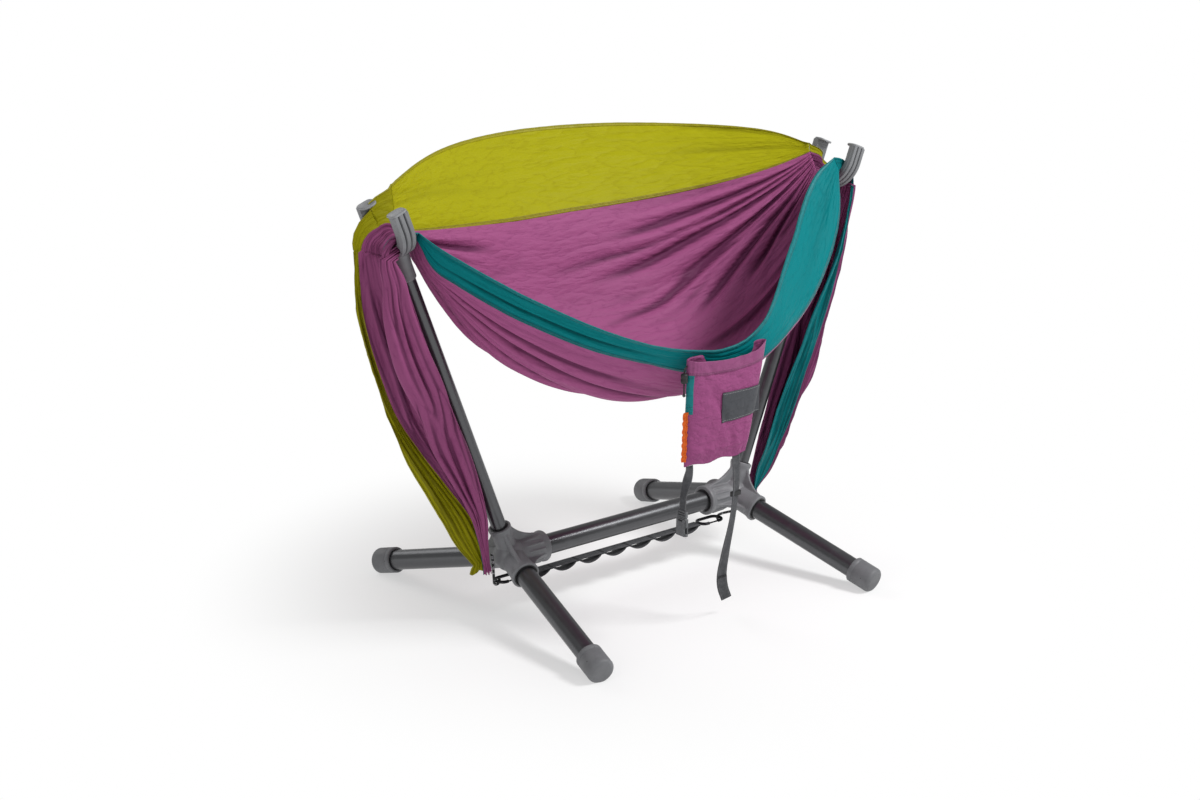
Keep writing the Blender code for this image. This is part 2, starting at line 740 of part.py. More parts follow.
def seat_guides(s):
    """Guide points (y, z) of the seat at s, from -1 at the left cradle to +1 at the right one."""
    wide = max(0.0, 1.0 - s * s)
    near = wide if s < 0.0 else max(0.0, 1.0 - s**1.15)
    base = keel_end_height()
    hem_back = (HEM_SPREAD + BACK_HEM_DEPTH * wide, base + BACK_HEM_END_RISE + BACK_HEM_LIFT * wide**0.7)
    seam_back = (SEAM_SPREAD + SEAM_DEPTH * wide, base + SEAM_END_RISE - SEAM_SAG * wide)
    keel = (-KEEL_OFFSET * wide, base - KEEL_SAG * wide**0.78)
    seam_y = FRONT_SEAM_SPREAD + FRONT_SEAM_DEPTH * wide
    front_seam = (-seam_y, base + FRONT_SEAM_END_RISE - FRONT_SEAM_SAG * wide**0.8)
    hem_y = FRONT_HEM_SPREAD + FRONT_HEM_DEPTH * (near if s >= 0.0 else near**0.9)
    hem_front = (-hem_y, base + FRONT_HEM_END_RISE - FRONT_HEM_SAG * near)
    back_belly = middle_with_bulge(seam_back, keel, END_BULGE + BACK_BULGE * wide)
    front_belly = middle_with_bulge(keel, front_seam, END_BULGE + FRONT_BULGE * wide)
    return np.array([hem_back, seam_back, back_belly, keel, front_belly, front_seam, hem_front])


def middle_with_bulge(first, second, bulge):
    """The middle of two guide points, pushed outwards and down by a bulge."""
    (ay, az), (by, bz) = first, second
    dy, dz = by - ay, bz - az
    length = math.hypot(dy, dz)
    return ((ay + by) / 2.0 - bulge * dz / length, (az + bz) / 2.0 + bulge * dy / length)


def section_curve(guides, panels):
    """Points along a whole section, with even steps inside each panel. Each seam is one shared point."""
    knots = np.asarray(guides, float)
    ends = np.vstack([2 * knots[0] - knots[1], knots, 2 * knots[-1] - knots[-2]])
    columns = []
    for _, (first, last), count, pleats, height in panels:
        dense = []
        for k in range(first, last):
            a, b, c, d = ends[k : k + 4]
            for u in np.linspace(0.0, 1.0, 16, endpoint=False):
                dense.append(0.5 * (2 * b + (c - a) * u + (2 * a - 5 * b + 4 * c - d) * u**2
                                    + (3 * b - a - 3 * c + d) * u**3))
        dense.append(knots[last])
        curve = pleat_section(spread_evenly(np.array(dense), count), pleats, height)
        columns.append(curve if not columns else curve[1:])
    return np.vstack(columns)


def pleat_section(curve, pleats, height):
    """Waves along a panel's section, dying out at both of its edges."""
    tangent = np.gradient(curve, axis=0)
    tangent /= np.linalg.norm(tangent, axis=1)[:, None]
    normal = np.stack([-tangent[:, 1], tangent[:, 0]], axis=1)
    f = np.linspace(0.0, 1.0, len(curve))
    wave = height * np.sin(2.0 * math.pi * pleats * f)
    return curve + normal * wave[:, None]


def cloth_panels(prefix, rows, panels):
    """Splits a whole cloth at its seams and makes a thin solid of each panel."""
    grid = np.asarray(rows, float)
    along = np.gradient(grid, axis=0)
    across = np.gradient(grid, axis=1)
    across /= np.linalg.norm(across, axis=2)[:, :, None]
    normal = np.cross(along, across)
    normal[0, :, 0] = 0.0
    if abs(grid[-1, 0, 0] + grid[0, 0, 0]) < SEAT_GAP:
        normal[-1, :, 0] = 0.0
    normal /= np.linalg.norm(normal, axis=2)[:, :, None]
    start = 0
    for label, _, count, _, _ in panels:
        part = grid[:, start : start + count].copy()
        if start > 0:
            part[:, 0] += across[:, start] * CLOTH_GAP / 2.0
        if start + count < grid.shape[1]:
            part[:, -1] -= across[:, start + count - 1] * CLOTH_GAP / 2.0
        cloth_solid(prefix + label, part, normal[:, start : start + count], PANEL_SLOTS[label])
        start += count - 1


def cloth_solid(name, grid, normal, slot):
    """A thin closed sheet, half its thickness to each side of a grid of points."""
    upper = grid + normal * CLOTH_THICKNESS / 2.0
    lower = grid - normal * CLOTH_THICKNESS / 2.0
    rows_count, columns = grid.shape[:2]
    points = np.concatenate([upper.reshape(-1, 3), lower.reshape(-1, 3)])
    base = rows_count * columns

    def at(i, j, layer):
        return layer * base + i * columns + j

    faces = []
    for i in range(rows_count - 1):
        for j in range(columns - 1):
            faces.append((at(i, j, 0), at(i + 1, j, 0), at(i + 1, j + 1, 0), at(i, j + 1, 0)))
            faces.append((at(i, j, 1), at(i, j + 1, 1), at(i + 1, j + 1, 1), at(i + 1, j, 1)))
    rim = [(i, 0) for i in range(rows_count)]
    rim += [(rows_count - 1, j) for j in range(1, columns)]
    rim += [(i, columns - 1) for i in range(rows_count - 2, -1, -1)]
    rim += [(0, j) for j in range(columns - 2, 0, -1)]
    for (i, j), (m, n) in zip(rim, rim[1:] + rim[:1]):
        faces.append((at(i, j, 0), at(i, j, 1), at(m, n, 1), at(m, n, 0)))
    return finish_object(name, mesh_from(name, points, faces), slot, smooth_angle=60.0)


def panel_plan(counts, height):
    """The three panels of a section: name, guide range, point count, pleats and pleat height."""
    return (
        ("back_panel", BACK_PANEL, counts[0], BACK_PLEATS, height * EDGE_PLEAT_SHARE),
        ("centre_panel", CENTRE_PANEL, counts[1], CENTRE_PLEATS, height),
        ("front_panel", FRONT_PANEL, counts[2], FRONT_PLEATS, height * EDGE_PLEAT_SHARE),
    )


def build_seat():
    """The three panels between the cradles, with folds that fan out from both ends."""
    end_x = seat_end_x()
    turns = np.linspace(-1.0, 1.0, SEAT_ROWS)
    stations = np.sin(turns * math.pi / 2.0) * ROW_CROWDING + turns * (1.0 - ROW_CROWDING)
    rows = []
    for s in stations:
        height = END_PLEAT + (MID_PLEAT - END_PLEAT) * (4.0 * s * s * (1.0 - s * s))
        plan = panel_plan(SEAT_COLUMNS, height)
        rows.append([(s * end_x, y, z) for y, z in section_curve(seat_guides(s), plan)])
    cloth_panels("seat_", rows, panel_plan(SEAT_COLUMNS, 0.0))


def drop_path():
    """The keel's route from the seat end, over the saddle and down the mast: (distance out, height)."""
    inner_out, inner_height = saddle_edge(1.0)
    outer_out, outer_height = saddle_edge(-1.0)
    lift = SADDLE_LIFT
    beside = MAST_TUBE_R + MAST_CLEARANCE
    knots = [
        (seat_end_x() + SEAT_GAP, keel_end_height()),
        (inner_out + 0.004, inner_height + lift - 0.0004),
        ((inner_out + outer_out) / 2.0 + 0.001, (inner_height + outer_height) / 2.0 + lift),
        (outer_out + lift * 0.6, outer_height + lift),
        (outer_out + lift * 1.35, outer_height - 0.007),
        (outer_out + lift * 0.85, outer_height - 0.026),
    ]
    fall = CRADLE_HEIGHT - GATHER_HEIGHT
    heights = [CRADLE_HEIGHT - drop for drop in BESIDE_MAST_DROPS]
    heights += [GATHER_HEIGHT + fall * share for share in BESIDE_MAST_SHARES]
    for height in heights:
        knots.append((mast_x(height) + beside / math.cos(MAST_LEAN), height))
    for share, out in DRAWN_OUT:
        height = GATHER_HEIGHT + fall * share
        knots.append((mast_x(height) + out, height))
    knots.append((mast_x(GATHER_HEIGHT) + GATHER_OUT, GATHER_HEIGHT))
    return np.array(knots)


# Guide points of the drops (outward, back): two steps below the saddle, then beside the mast as a share
# of the reach, and at the gathered end as turns round the bundle. On the left the front panel folds back
# under the rest.
LEFT_TURNS = (
    ((0.055, 0.038), (0.040, 0.030), (0.020, 0.015), (0.004, -0.006), (0.009, -0.022), (0.012, -0.036),
     (0.006, -0.052)),
    ((0.064, 0.042), (0.054, 0.032), (0.032, 0.013), (0.011, -0.014), (0.011, -0.028), (0.003, -0.036),
     (-0.011, -0.038)),
)
RIGHT_TURNS = (
    ((0.052, 0.038), (0.034, 0.030), (0.016, 0.017), (0.002, 0.001), (0.008, -0.018), (0.020, -0.030),
     (0.042, -0.031)),
    ((0.060, 0.042), (0.052, 0.030), (0.028, 0.015), (0.002, 0.003), (0.010, -0.019), (0.024, -0.031),
     (0.046, -0.031)),
)
LEFT_FAN = ((1.00, 0.050), (0.86, 0.038), (0.50, 0.006), (0.170, -0.034), (0.075, -0.029), (-0.010, -0.012),
            (-0.050, 0.018))
RIGHT_FAN = ((0.80, 0.048), (0.97, 0.028), (0.50, 0.014), (0.02, 0.006), (0.16, -0.022), (0.36, -0.032),
             (0.66, -0.030))
LEFT_BUNDLE = (80.0, 35.0, -10.0, -70.0, -120.0, -170.0, -215.0)
RIGHT_BUNDLE = (35.0, 80.0, 130.0, 180.0, 230.0, 280.0, 325.0)


def ease(value, start, end):
    u = min(max((value - start) / (end - start), 0.0), 1.0)
    return u * u * (3.0 - 2.0 * u)


def drop_guides(side, t):
    """Guide points (outward, back) of a drop at t, from 0 at the seat end to 1 at the gathered end."""
    saddle = seat_guides(side)
    saddle = np.stack([saddle[:, 1] - keel_end_height(), saddle[:, 0]], axis=1)
    fan = np.array(LEFT_FAN if side < 0 else RIGHT_FAN)
    fan = np.stack([fan[:, 0] * DROP_REACH, fan[:, 1]], axis=1)
    swell = math.sin(math.pi * min(max((t - 0.10) / 0.90, 0.02), 0.98)) ** 0.6
    fan[:, 0] *= 0.22 + 0.78 * swell
    turns = np.radians(LEFT_BUNDLE if side < 0 else RIGHT_BUNDLE)
    bundle = GATHER_R * np.stack([np.cos(turns), np.sin(turns)], axis=1)
    turns_below = np.array(LEFT_TURNS if side < 0 else RIGHT_TURNS)
    stages = (
        (turns_below[0], 0.10, 0.16),
        (turns_below[1], 0.16, 0.23),
        (fan, 0.23, 0.37),
        (bundle, 0.80, 1.0),
    )
    guides = saddle
    for target, start, end in stages:
        share = ease(t, start, end)
        guides = guides * (1.0 - share) + target * share
    return guides


def drop_pleat(t):
    """Pleat height of a drop at t. The pleats close up at the gathered end."""
    return END_PLEAT * (1.0 - 0.35 * ease(t, 0.1, 0.3)) * (1.0 - 0.8 * ease(t, 0.75, 1.0))


def build_drops():
    """Each panel's stretch over a cradle and down beside the mast."""
    steps = np.linspace(0.0, 1.0, 400)
    path = smooth_path(drop_path(), len(steps))
    tangent = np.gradient(path, axis=0)
    shares = np.concatenate([np.linspace(*span) for span in DROP_ROWS])
    for side_name, side in SIDES.items():
        rows = []
        for t in shares:
            place = np.array([np.interp(t, steps, path[:, i]) for i in (0, 1)])
            way = np.array([np.interp(t, steps, tangent[:, i]) for i in (0, 1)])
            way /= np.linalg.norm(way)
            level = 1.0 - ease(t, 0.0, LEVEL_START)
            way = way * (1.0 - level) + np.array((1.0, 0.0)) * level
            way /= np.linalg.norm(way)
            section = section_curve(drop_guides(side, t), panel_plan(DROP_COLUMNS, drop_pleat(t)))
            out = place[0] - way[1] * section[:, 0]
            height = place[1] + way[0] * section[:, 0]
            rows.append(np.stack([side * out, section[:, 1], height], axis=1))
        cloth_panels(side_name + "_drop_", rows, panel_plan(DROP_COLUMNS, 0.0))


# Tension line: rope loops, carabiners and the looped strap


def carabiner_outer_rod(side):
    """How far out the carabiner's end rod lies, where the rope goes round it."""
    centre = RIGHT_CARABINER_X if side > 0 else -LEFT_CARABINER_X
    return centre + CARABINER_LENGTH / 2.0 - CARABINER_R


def build_ropes():
    """A cord from each gathered end, laid along the cloth, then down and round the carabiner's rod."""
    beside_cloth = GATHER_R + CLOTH_THICKNESS / 2.0 + ROPE_R + ROPE_CLOTH_GAP
    wrap_r = CARABINER_R + ROPE_R + 2.0 * SEAT_GAP
    for side_name, side in SIDES.items():
        gather_x = mast_x(GATHER_HEIGHT) + GATHER_OUT - beside_cloth
        rod_x = carabiner_outer_rod(side)
        knots = [(gather_x + 0.0025, GATHER_HEIGHT + 0.011), (gather_x, GATHER_HEIGHT)]
        if gather_x - rod_x < 4.0 * wrap_r:
            first_turn = 0.0
            knots.append((rod_x + wrap_r + 0.001, STRAP_HEIGHT + 0.014))
        else:
            first_turn = 90.0
            knots += [(gather_x - 0.008, STRAP_HEIGHT + 0.018), (gather_x - 0.026, STRAP_HEIGHT + 0.006)]
            knots.append((rod_x + 0.010, STRAP_HEIGHT + wrap_r + 0.0002))
        path = [tuple(point) for point in smooth_path(knots, ROPE_STEPS)]
        way = -1.0 if first_turn == 0.0 else 1.0
        for k in range(9):
            turn = math.radians(first_turn + way * 28.0 * k)
            path.append((rod_x + wrap_r * math.cos(turn), STRAP_HEIGHT + wrap_r * math.sin(turn)))
        path = [(side * x, 0.0, z) for x, z in path]
        round_bar("end_rope_" + side_name, path, ROPE_R, 6, "rope")


def carabiner_path(centre_x):
    """A stadium-shaped ring, open along part of its front run for the gate."""
    straight = CARABINER_LENGTH - CARABINER_WIDTH
    radius = CARABINER_WIDTH / 2.0 - CARABINER_R
    points = [(GATE_SPAN / 2.0, -radius)]
    points.append((straight / 2.0, -radius))
    for k in range(1, 8):
        angle = -math.pi / 2.0 + math.pi * k / 8
        points.append((straight / 2.0 + radius * math.cos(angle), radius * math.sin(angle)))
    points.append((straight / 2.0, radius))
    points.append((0.0, radius))
    points.append((-straight / 2.0, radius))
    for k in range(1, 8):
        angle = math.pi / 2.0 + math.pi * k / 8
        points.append((-straight / 2.0 + radius * math.cos(angle), radius * math.sin(angle)))
    points.append((-straight / 2.0, -radius))
    points.append((-GATE_SPAN / 2.0, -radius))
    return [(centre_x + x, y, STRAP_HEIGHT) for x, y in points]


def build_carabiners():
    radius = CARABINER_WIDTH / 2.0 - CARABINER_R
    for side_name, centre_x in (("left", LEFT_CARABINER_X), ("right", RIGHT_CARABINER_X)):
        round_bar("carabiner_" + side_name, carabiner_path(centre_x), CARABINER_R, 8, "carabiner")
        start = centre_x - GATE_SPAN / 2.0 + GATE_HINGE_GAP
        finish = centre_x + GATE_SPAN / 2.0 - SEAT_GAP
        gate = [(x, -radius, STRAP_HEIGHT) for x in (start, centre_x, finish)]
        round_bar("carabiner_gate_" + side_name, gate, GATE_R, 8, "carabiner")


def build_strap():
    """A flat band under the spreader, with a row of hanging loops sewn to it."""
    start = LEFT_CARABINER_X + CARABINER_LENGTH / 2.0 + SEAT_GAP
    finish = RIGHT_CARABINER_X - CARABINER_LENGTH / 2.0 - SEAT_GAP
    band = [(x, 0.0, STRAP_HEIGHT) for x in np.linspace(start, finish, 6)]
    ribbon("strap_band", band, STRAP_WIDTH, STRAP_THICKNESS, "webbing")
    pitch = (finish - start) / LOOP_COUNT
    top = STRAP_HEIGHT - STRAP_THICKNESS - SEAT_GAP
    for k in range(LOOP_COUNT):
        left = start + k * pitch + SEAT_GAP
        right = start + (k + 1) * pitch - SEAT_GAP
        span = right - left - LOOP_TACK
        loop = [(left, 0.0, top)]
        for m in range(LOOP_STEPS + 1):
            u = m / LOOP_STEPS
            sag = LOOP_DEPTH * math.sin(math.pi * u) ** 0.7
            loop.append((left + LOOP_TACK / 2.0 + span * u, 0.0, top - sag))
        loop.append((right, 0.0, top))
        ribbon("strap_loop_%d" % (k + 1), loop, STRAP_WIDTH, STRAP_THICKNESS, "webbing")


# Storage pouch, which hangs just before and below the front hem


def hem_over_pouch():
    """The front hem (y, z) over the middle of the pouch."""
    return seat_guides(POUCH_CENTRE_X / seat_end_x())[-1]


def pouch_top():
    return hem_over_pouch()[1] - POUCH_BELOW_HEM


def pouch_bottom():
    return pouch_top() - POUCH_HEIGHT


def pouch_front_y():
    return hem_over_pouch()[0] - POUCH_BEFORE_HEM


def pouch_middle_y():
    return pouch_front_y() + POUCH_DEPTH / 2.0


def pouch_width(share):
    """The pouch's width at a share of its height, 0 at the bottom and 1 at the mouth."""
    return POUCH_BOTTOM_WIDTH + (POUCH_TOP_WIDTH - POUCH_BOTTOM_WIDTH) * share


def pouch_depth(share):
    """The pouch's depth at a share of its height. It draws in at the bottom seam."""
    return POUCH_DEPTH * min(1.0, POUCH_BASE_PINCH + (1.0 - POUCH_BASE_PINCH) * share / POUCH_FULL_FROM)


def pouch_left_edge(share):
    return POUCH_CENTRE_X + POUCH_BOTTOM_SHIFT * (1.0 - share) - pouch_width(share) / 2.0


def pouch_ring(share, inset):
    """A rounded rectangle at a share of the height, drawn in by an inset all round."""
    width = pouch_width(share) - 2.0 * inset
    depth = pouch_depth(share) - 2.0 * inset
    corner = depth * POUCH_CORNER_SHARE
    middle_x = POUCH_CENTRE_X + POUCH_BOTTOM_SHIFT * (1.0 - share)
    middle_y = pouch_middle_y()
    height = pouch_bottom() + share * POUCH_HEIGHT
    points = []
    for quarter in range(4):
        cx = middle_x + (width / 2.0 - corner) * (1 if quarter in (0, 3) else -1)
        cy = middle_y + (depth / 2.0 - corner) * (1 if quarter in (0, 1) else -1)
        for k in range(3):
            angle = math.pi / 2.0 * (quarter + k / 2.0)
            points.append((cx + corner * math.cos(angle), cy + corner * math.sin(angle), height))
    return points


def build_pouch():
    """An open bag with thin walls: outside up to the mouth, then inside down to its floor."""
    rings = [pouch_ring(share, 0.0) for share in (0.0, 0.04, 0.35, 0.7, 1.0)]
    rings += [pouch_ring(share, POUCH_WALL) for share in (1.0, 0.7, 0.35, 0.08)]
    sweep("pouch_shell", rings, lambda k: rings[k], "centre_cloth")


def build_label():
    """The bare grey patch on the pouch's front."""
    x = POUCH_CENTRE_X + LABEL_OFFSET
    y = pouch_front_y() - SEAT_GAP - LABEL_THICKNESS / 2.0
    place = Matrix.Translation((x, y, pouch_top() - LABEL_BELOW_TOP))
    box_solid("label_patch", (LABEL_WIDTH, LABEL_THICKNESS, LABEL_HEIGHT), "label", place)


def build_piping():
    """Orange piping down the lower part of the pouch's left edge."""
    path = []
    for share in np.linspace(*PIPING_SPAN, 9):
        x = pouch_left_edge(share) - PIPING_R - SEAT_GAP
        path.append((x, pouch_middle_y(), pouch_bottom() + POUCH_HEIGHT * share))
    round_bar("pouch_piping", path, PIPING_R, 8, "piping")


def build_cord_lock():
    """A small barrel lock that slides on the drawcord, which hangs from the pouch's left top corner."""
    x = pouch_left_edge(1.0) - LOCK_R - DRAWCORD_BESIDE
    y = pouch_middle_y()
    z = pouch_top() - LOCK_BELOW_TOP
    bore = DRAWCORD_R + SEAT_GAP
    half = LOCK_LENGTH / 2.0
    shoulder = LOCK_R - LOCK_EDGE
    profile = [(bore, -half), (shoulder, -half), (LOCK_R, LOCK_EDGE - half), (LOCK_R, half - LOCK_EDGE)]
    profile += [(shoulder, half), (bore, half)]
    lathe("cord_lock", profile, 12, "bush", Matrix.Translation((x, y, z)), closed=True)
    knots = [(x + 0.0060, y, z + 0.021), (x + 0.0025, y, z + 0.018), (x, y, z + 0.012), (x, y, z - 0.030)]
    round_bar("drawcord", smooth_path(knots, 10), DRAWCORD_R, 6, "rope")


def build_short_strap():
    """The short strap under the pouch's left corner, with its ladder adjuster and buckle half."""
    x = pouch_left_edge(0.0) + SHORT_STRAP_INSET
    top = pouch_bottom() - STRAP_DROP
    path = smooth_path([(x + dx, pouch_middle_y(), top - drop) for dx, drop in SHORT_STRAP_ROUTE], 13)
    wide = []
    for k in range(len(path)):
        turn = math.radians(90.0) * ease(k / (len(path) - 1), 0.0, 0.7)
        wide.append((math.cos(turn), -math.sin(turn), 0.0))
    fix_diagonals(ribbon("short_strap", path, SHORT_WEBBING_WIDTH, WEBBING_THICKNESS, "webbing", wide))
    low = Vector(path[-1])
    ladder = low - Vector((0.0, 0.0, SEAT_GAP + LADDER_SIZE[2] / 2.0))
    box_solid("ladder_adjuster", LADDER_SIZE, "buckle", Matrix.Translation(ladder), bevel=LADDER_BEVEL)
    build_buckle(low - Vector((0.0, 0.0, LADDER_SIZE[2] + 2.0 * SEAT_GAP)))


def build_buckle(top):
    """The receiving half of a side-release buckle, open at its lower end."""
    depth, width, length = BUCKLE_SIZE
    inner_depth = depth - 2.0 * BUCKLE_FACE_WALL
    mouth_size = (inner_depth, width - 2.0 * BUCKLE_EDGE_WALL, BUCKLE_MOUTH_DEPTH + SEAT_GAP)
    window_size = (inner_depth, 2.0 * width, BUCKLE_WINDOW_HEIGHT)
    body_place = Matrix.Translation(top - Vector((0.0, 0.0, length / 2.0)))
    mouth_place = Matrix.Translation(top - Vector((0.0, 0.0, length - (BUCKLE_MOUTH_DEPTH - SEAT_GAP) / 2.0)))
    window_place = Matrix.Translation(top - Vector((0.0, 0.0, length * BUCKLE_WINDOW_SHARE)))
    body = box_solid("buckle_socket", BUCKLE_SIZE, "buckle", body_place, bevel=BUCKLE_BEVEL)
    boolean(body, box_solid("buckle_mouth", mouth_size, "buckle", mouth_place), "DIFFERENCE")
    boolean(body, box_solid("buckle_windows", window_size, "buckle", window_place), "DIFFERENCE")


def build_long_strap():
    """The long tail strap, hanging from the pouch's bottom almost to the floor, with its keeper band."""
    x = POUCH_CENTRE_X + LONG_STRAP_OFFSET
    y = pouch_middle_y()
    top = pouch_bottom() - STRAP_DROP
    path = smooth_path([(x + dx, y + dy, top - drop) for dx, dy, drop in LONG_STRAP_ROUTE], 18)
    ribbon("long_strap", path, WEBBING_WIDTH, WEBBING_THICKNESS, "webbing", (1.0, 0.0, 0.0))
    dx, dy, drop = KEEPER_PLACE
    place = Matrix.Translation((x + dx, y + dy, top - drop))
    inner = (WEBBING_WIDTH + 2.0 * KEEPER_SLACK, WEBBING_THICKNESS + 2.0 * KEEPER_SLACK, 2.0 * KEEPER_HEIGHT)
    outer = (inner[0] + 2.0 * KEEPER_WALL, inner[1] + 2.0 * KEEPER_WALL, KEEPER_HEIGHT)
    keeper = box_solid("strap_keeper", outer, "bush", place)
    boolean(keeper, box_solid("strap_keeper_slot", inner, "bush", place), "DIFFERENCE")


def main():
    clear_scene()
    build_spreader()
    build_masts()
    build_feet()
    for side_name, side in SIDES.items():
        build_hub(side_name, side)
        build_bushes(side_name, side)
        build_cradle(side_name, side)
    build_seat()
    build_drops()
    build_ropes()
    build_carabiners()
    build_strap()
    build_pouch()
    build_label()
    build_piping()
    build_cord_lock()
    build_short_strap()
    build_long_strap()


main()
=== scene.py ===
"""The looks of a hammock slung over its own tube stand, in metres, +Z up, with the pouch at -Y."""

import math

import bmesh
import bpy
import numpy as np
from mathutils import Matrix, Vector


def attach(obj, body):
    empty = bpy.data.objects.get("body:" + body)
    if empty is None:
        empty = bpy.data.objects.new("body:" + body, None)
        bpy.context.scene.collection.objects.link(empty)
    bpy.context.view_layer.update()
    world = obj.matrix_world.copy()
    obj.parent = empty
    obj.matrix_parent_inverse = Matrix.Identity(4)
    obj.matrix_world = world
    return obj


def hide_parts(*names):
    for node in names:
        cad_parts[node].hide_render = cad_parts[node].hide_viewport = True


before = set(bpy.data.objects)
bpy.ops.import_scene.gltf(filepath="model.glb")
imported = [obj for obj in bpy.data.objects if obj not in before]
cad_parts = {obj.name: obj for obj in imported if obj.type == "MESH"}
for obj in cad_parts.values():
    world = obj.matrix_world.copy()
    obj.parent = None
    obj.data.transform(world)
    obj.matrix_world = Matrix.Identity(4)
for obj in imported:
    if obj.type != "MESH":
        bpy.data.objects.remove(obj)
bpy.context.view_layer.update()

# Camera of the photograph, for a picture of 1200 by 800
PICTURE_WIDTH = 1200.0
FOCAL_PIXELS = 2078.0
SENSOR_WIDTH = 36.0
CAMERA_TURN = math.radians(-40.0)
CAMERA_HEIGHT_ANGLE = math.radians(16.7)
CAMERA_ROLL = math.radians(0.63)
CAMERA_DISTANCE = 3.806
CAMERA_TARGET = Vector((-0.066, 0.0, 0.371))

# Studio. A lamp is its name, place, aim, width and power.
LAMPS = (
    ("key_lamp", (1.6, -1.9, 3.0), (0.0, 0.0, 0.4), 1.1, 105.0),
    ("fill_lamp", (-3.2, -1.6, 1.6), (0.0, 0.0, 0.4), 2.6, 16.0),
    ("back_lamp", (-0.6, 2.8, 2.2), (0.0, 0.0, 0.5), 2.2, 22.0),
)
WORLD_LIGHT = 0.38
FLOOR_RINGS = (30.0, 5.0, 2.0, 1.0, 0.5, 0.0)
FLOOR_SIDES = 96
FLOOR_GREY = 0.93
FLOOR_FADE_FROM = 0.35
FLOOR_FADE_TO = 0.85
FLOOR_WHITE_SHARE = 0.45

# Stand
ROUND_SIDES = 64
CUT_BEYOND = 0.01
HUB_SPACING = 0.550
HUB_HEIGHT = 0.118
MAST_LEAN = math.radians(21.5)
FOOT_RUN_X = 0.0545
FOOT_RUN_Y = 0.310
FOOT_FALL = 0.0915
CRADLE_HEIGHT = 0.755
BASE_TUBE_R = 0.0190
BASE_TUBE_WALL = 0.0018
MAST_TUBE_R = 0.01375
MAST_TUBE_WALL = 0.0015
TUBE_STOP = 0.026
SEAT_GAP = 0.0003
SWAY_ROOM = 0.00025
BUSH_WALL = 0.0030
BUSH_LENGTH = 0.020
BUSH_PROUD = 0.0012
HUB_GRAIN = 0.0011
CORE_R = 0.030
# Each kind of socket's length and wall
FOOT_SOCKET = (0.066, 0.0045)
SPREADER_SOCKET = (0.076, 0.0070)
MAST_SOCKET = (0.064, 0.0042)
SOCKET_RIM = 0.006
SOCKET_ROOT = 0.004
WEB_THICKNESS = 0.0065
WEB_HOLLOW = 0.0385
WEB_ROOT = 0.012
WEB_BITE = 0.0015
FLUTE_COUNT = 14
FLUTE_R = 0.0022
# A flute's line as (distance from the hub's middle, lift)
FLUTE_LINE = ((0.022, -0.002), (0.034, 0.0005), (0.050, 0.0010), (0.062, 0.0014))
CAP_LENGTH = 0.050
CAP_R = 0.0245
CAP_DEPTH = 0.036
CAP_ROUNDING = 0.008
CRADLE_INNER_R = 0.042
CRADLE_BAND = 0.0145
CRADLE_THICKNESS = 0.032
CRADLE_GRAIN = 0.0007
CRADLE_GROOVE = 0.0050
CRADLE_EDGE = 0.0022
HORN_RISE = 0.030
LIP_REACH = 0.0125
# The lip's layers as (height, share of its whole outline)
LIP_LAYERS = (
    (0.0, 0.90), (0.0007, 0.985), (0.0016, 1.0), (0.0030, 0.985),
    (0.0039, 0.93), (0.0043, 0.80), (0.0045, 0.4),
)
NECK_LENGTH = 0.046
NECK_TOP_HALF = 0.021
NECK_WALL = 0.0026
NECK_TAPER = 0.012
NECK_SQUASH = 0.86
MAST_INSERT = 0.030

# Cloth
SEAT_END_INSET = 0.0085
SADDLE_LIFT = 0.0062
MAST_CLEARANCE = 0.0085
GATHER_OUT = 0.054
GATHER_HEIGHT = 0.118
GATHER_R = 0.0115
END_BULGE = 0.0042
CLOTH_SKIN = 0.0009
BACK_HEM_SPREAD = 0.266
BACK_HEM_RISE = 0.052
BACK_SEAM_SPREAD = 0.140
BACK_SEAM_FALL = 0.055
KEEL_SAG = 0.338
KEEL_FORWARD = 0.070
BACK_BELLY = 0.046
FRONT_BELLY = 0.024
RUFFLE_LENGTH = 0.020
RUFFLE_ROWS = 7

# Tension line
STRAP_HEIGHT = 0.074
STRAP_WIDTH = 0.020
STRAP_THICKNESS = 0.0016
LOOP_COUNT = 7
LOOP_DEPTH = 0.0100
LOOP_TACK = 0.010
TACK_HALF = 0.0022
ROPE_R = 0.0025
ROPE_CLEARANCE = 0.0008
ROPE_STEPS = 28
# How far a step of the rope turns round the carabiner, in degrees
WRAP_TURN = 8.3
CARABINER_LENGTH = 0.062
CARABINER_WIDTH = 0.032
CARABINER_R = 0.0030
GATE_SPAN = 0.024
GATE_RADII = (0.0013, 0.0016, 0.0016, 0.0015, 0.0014, 0.0015, 0.0016, 0.0016, 0.0013)
# Where each carabiner's middle is, in x
CARABINERS = {"left": -0.276, "right": 0.216}

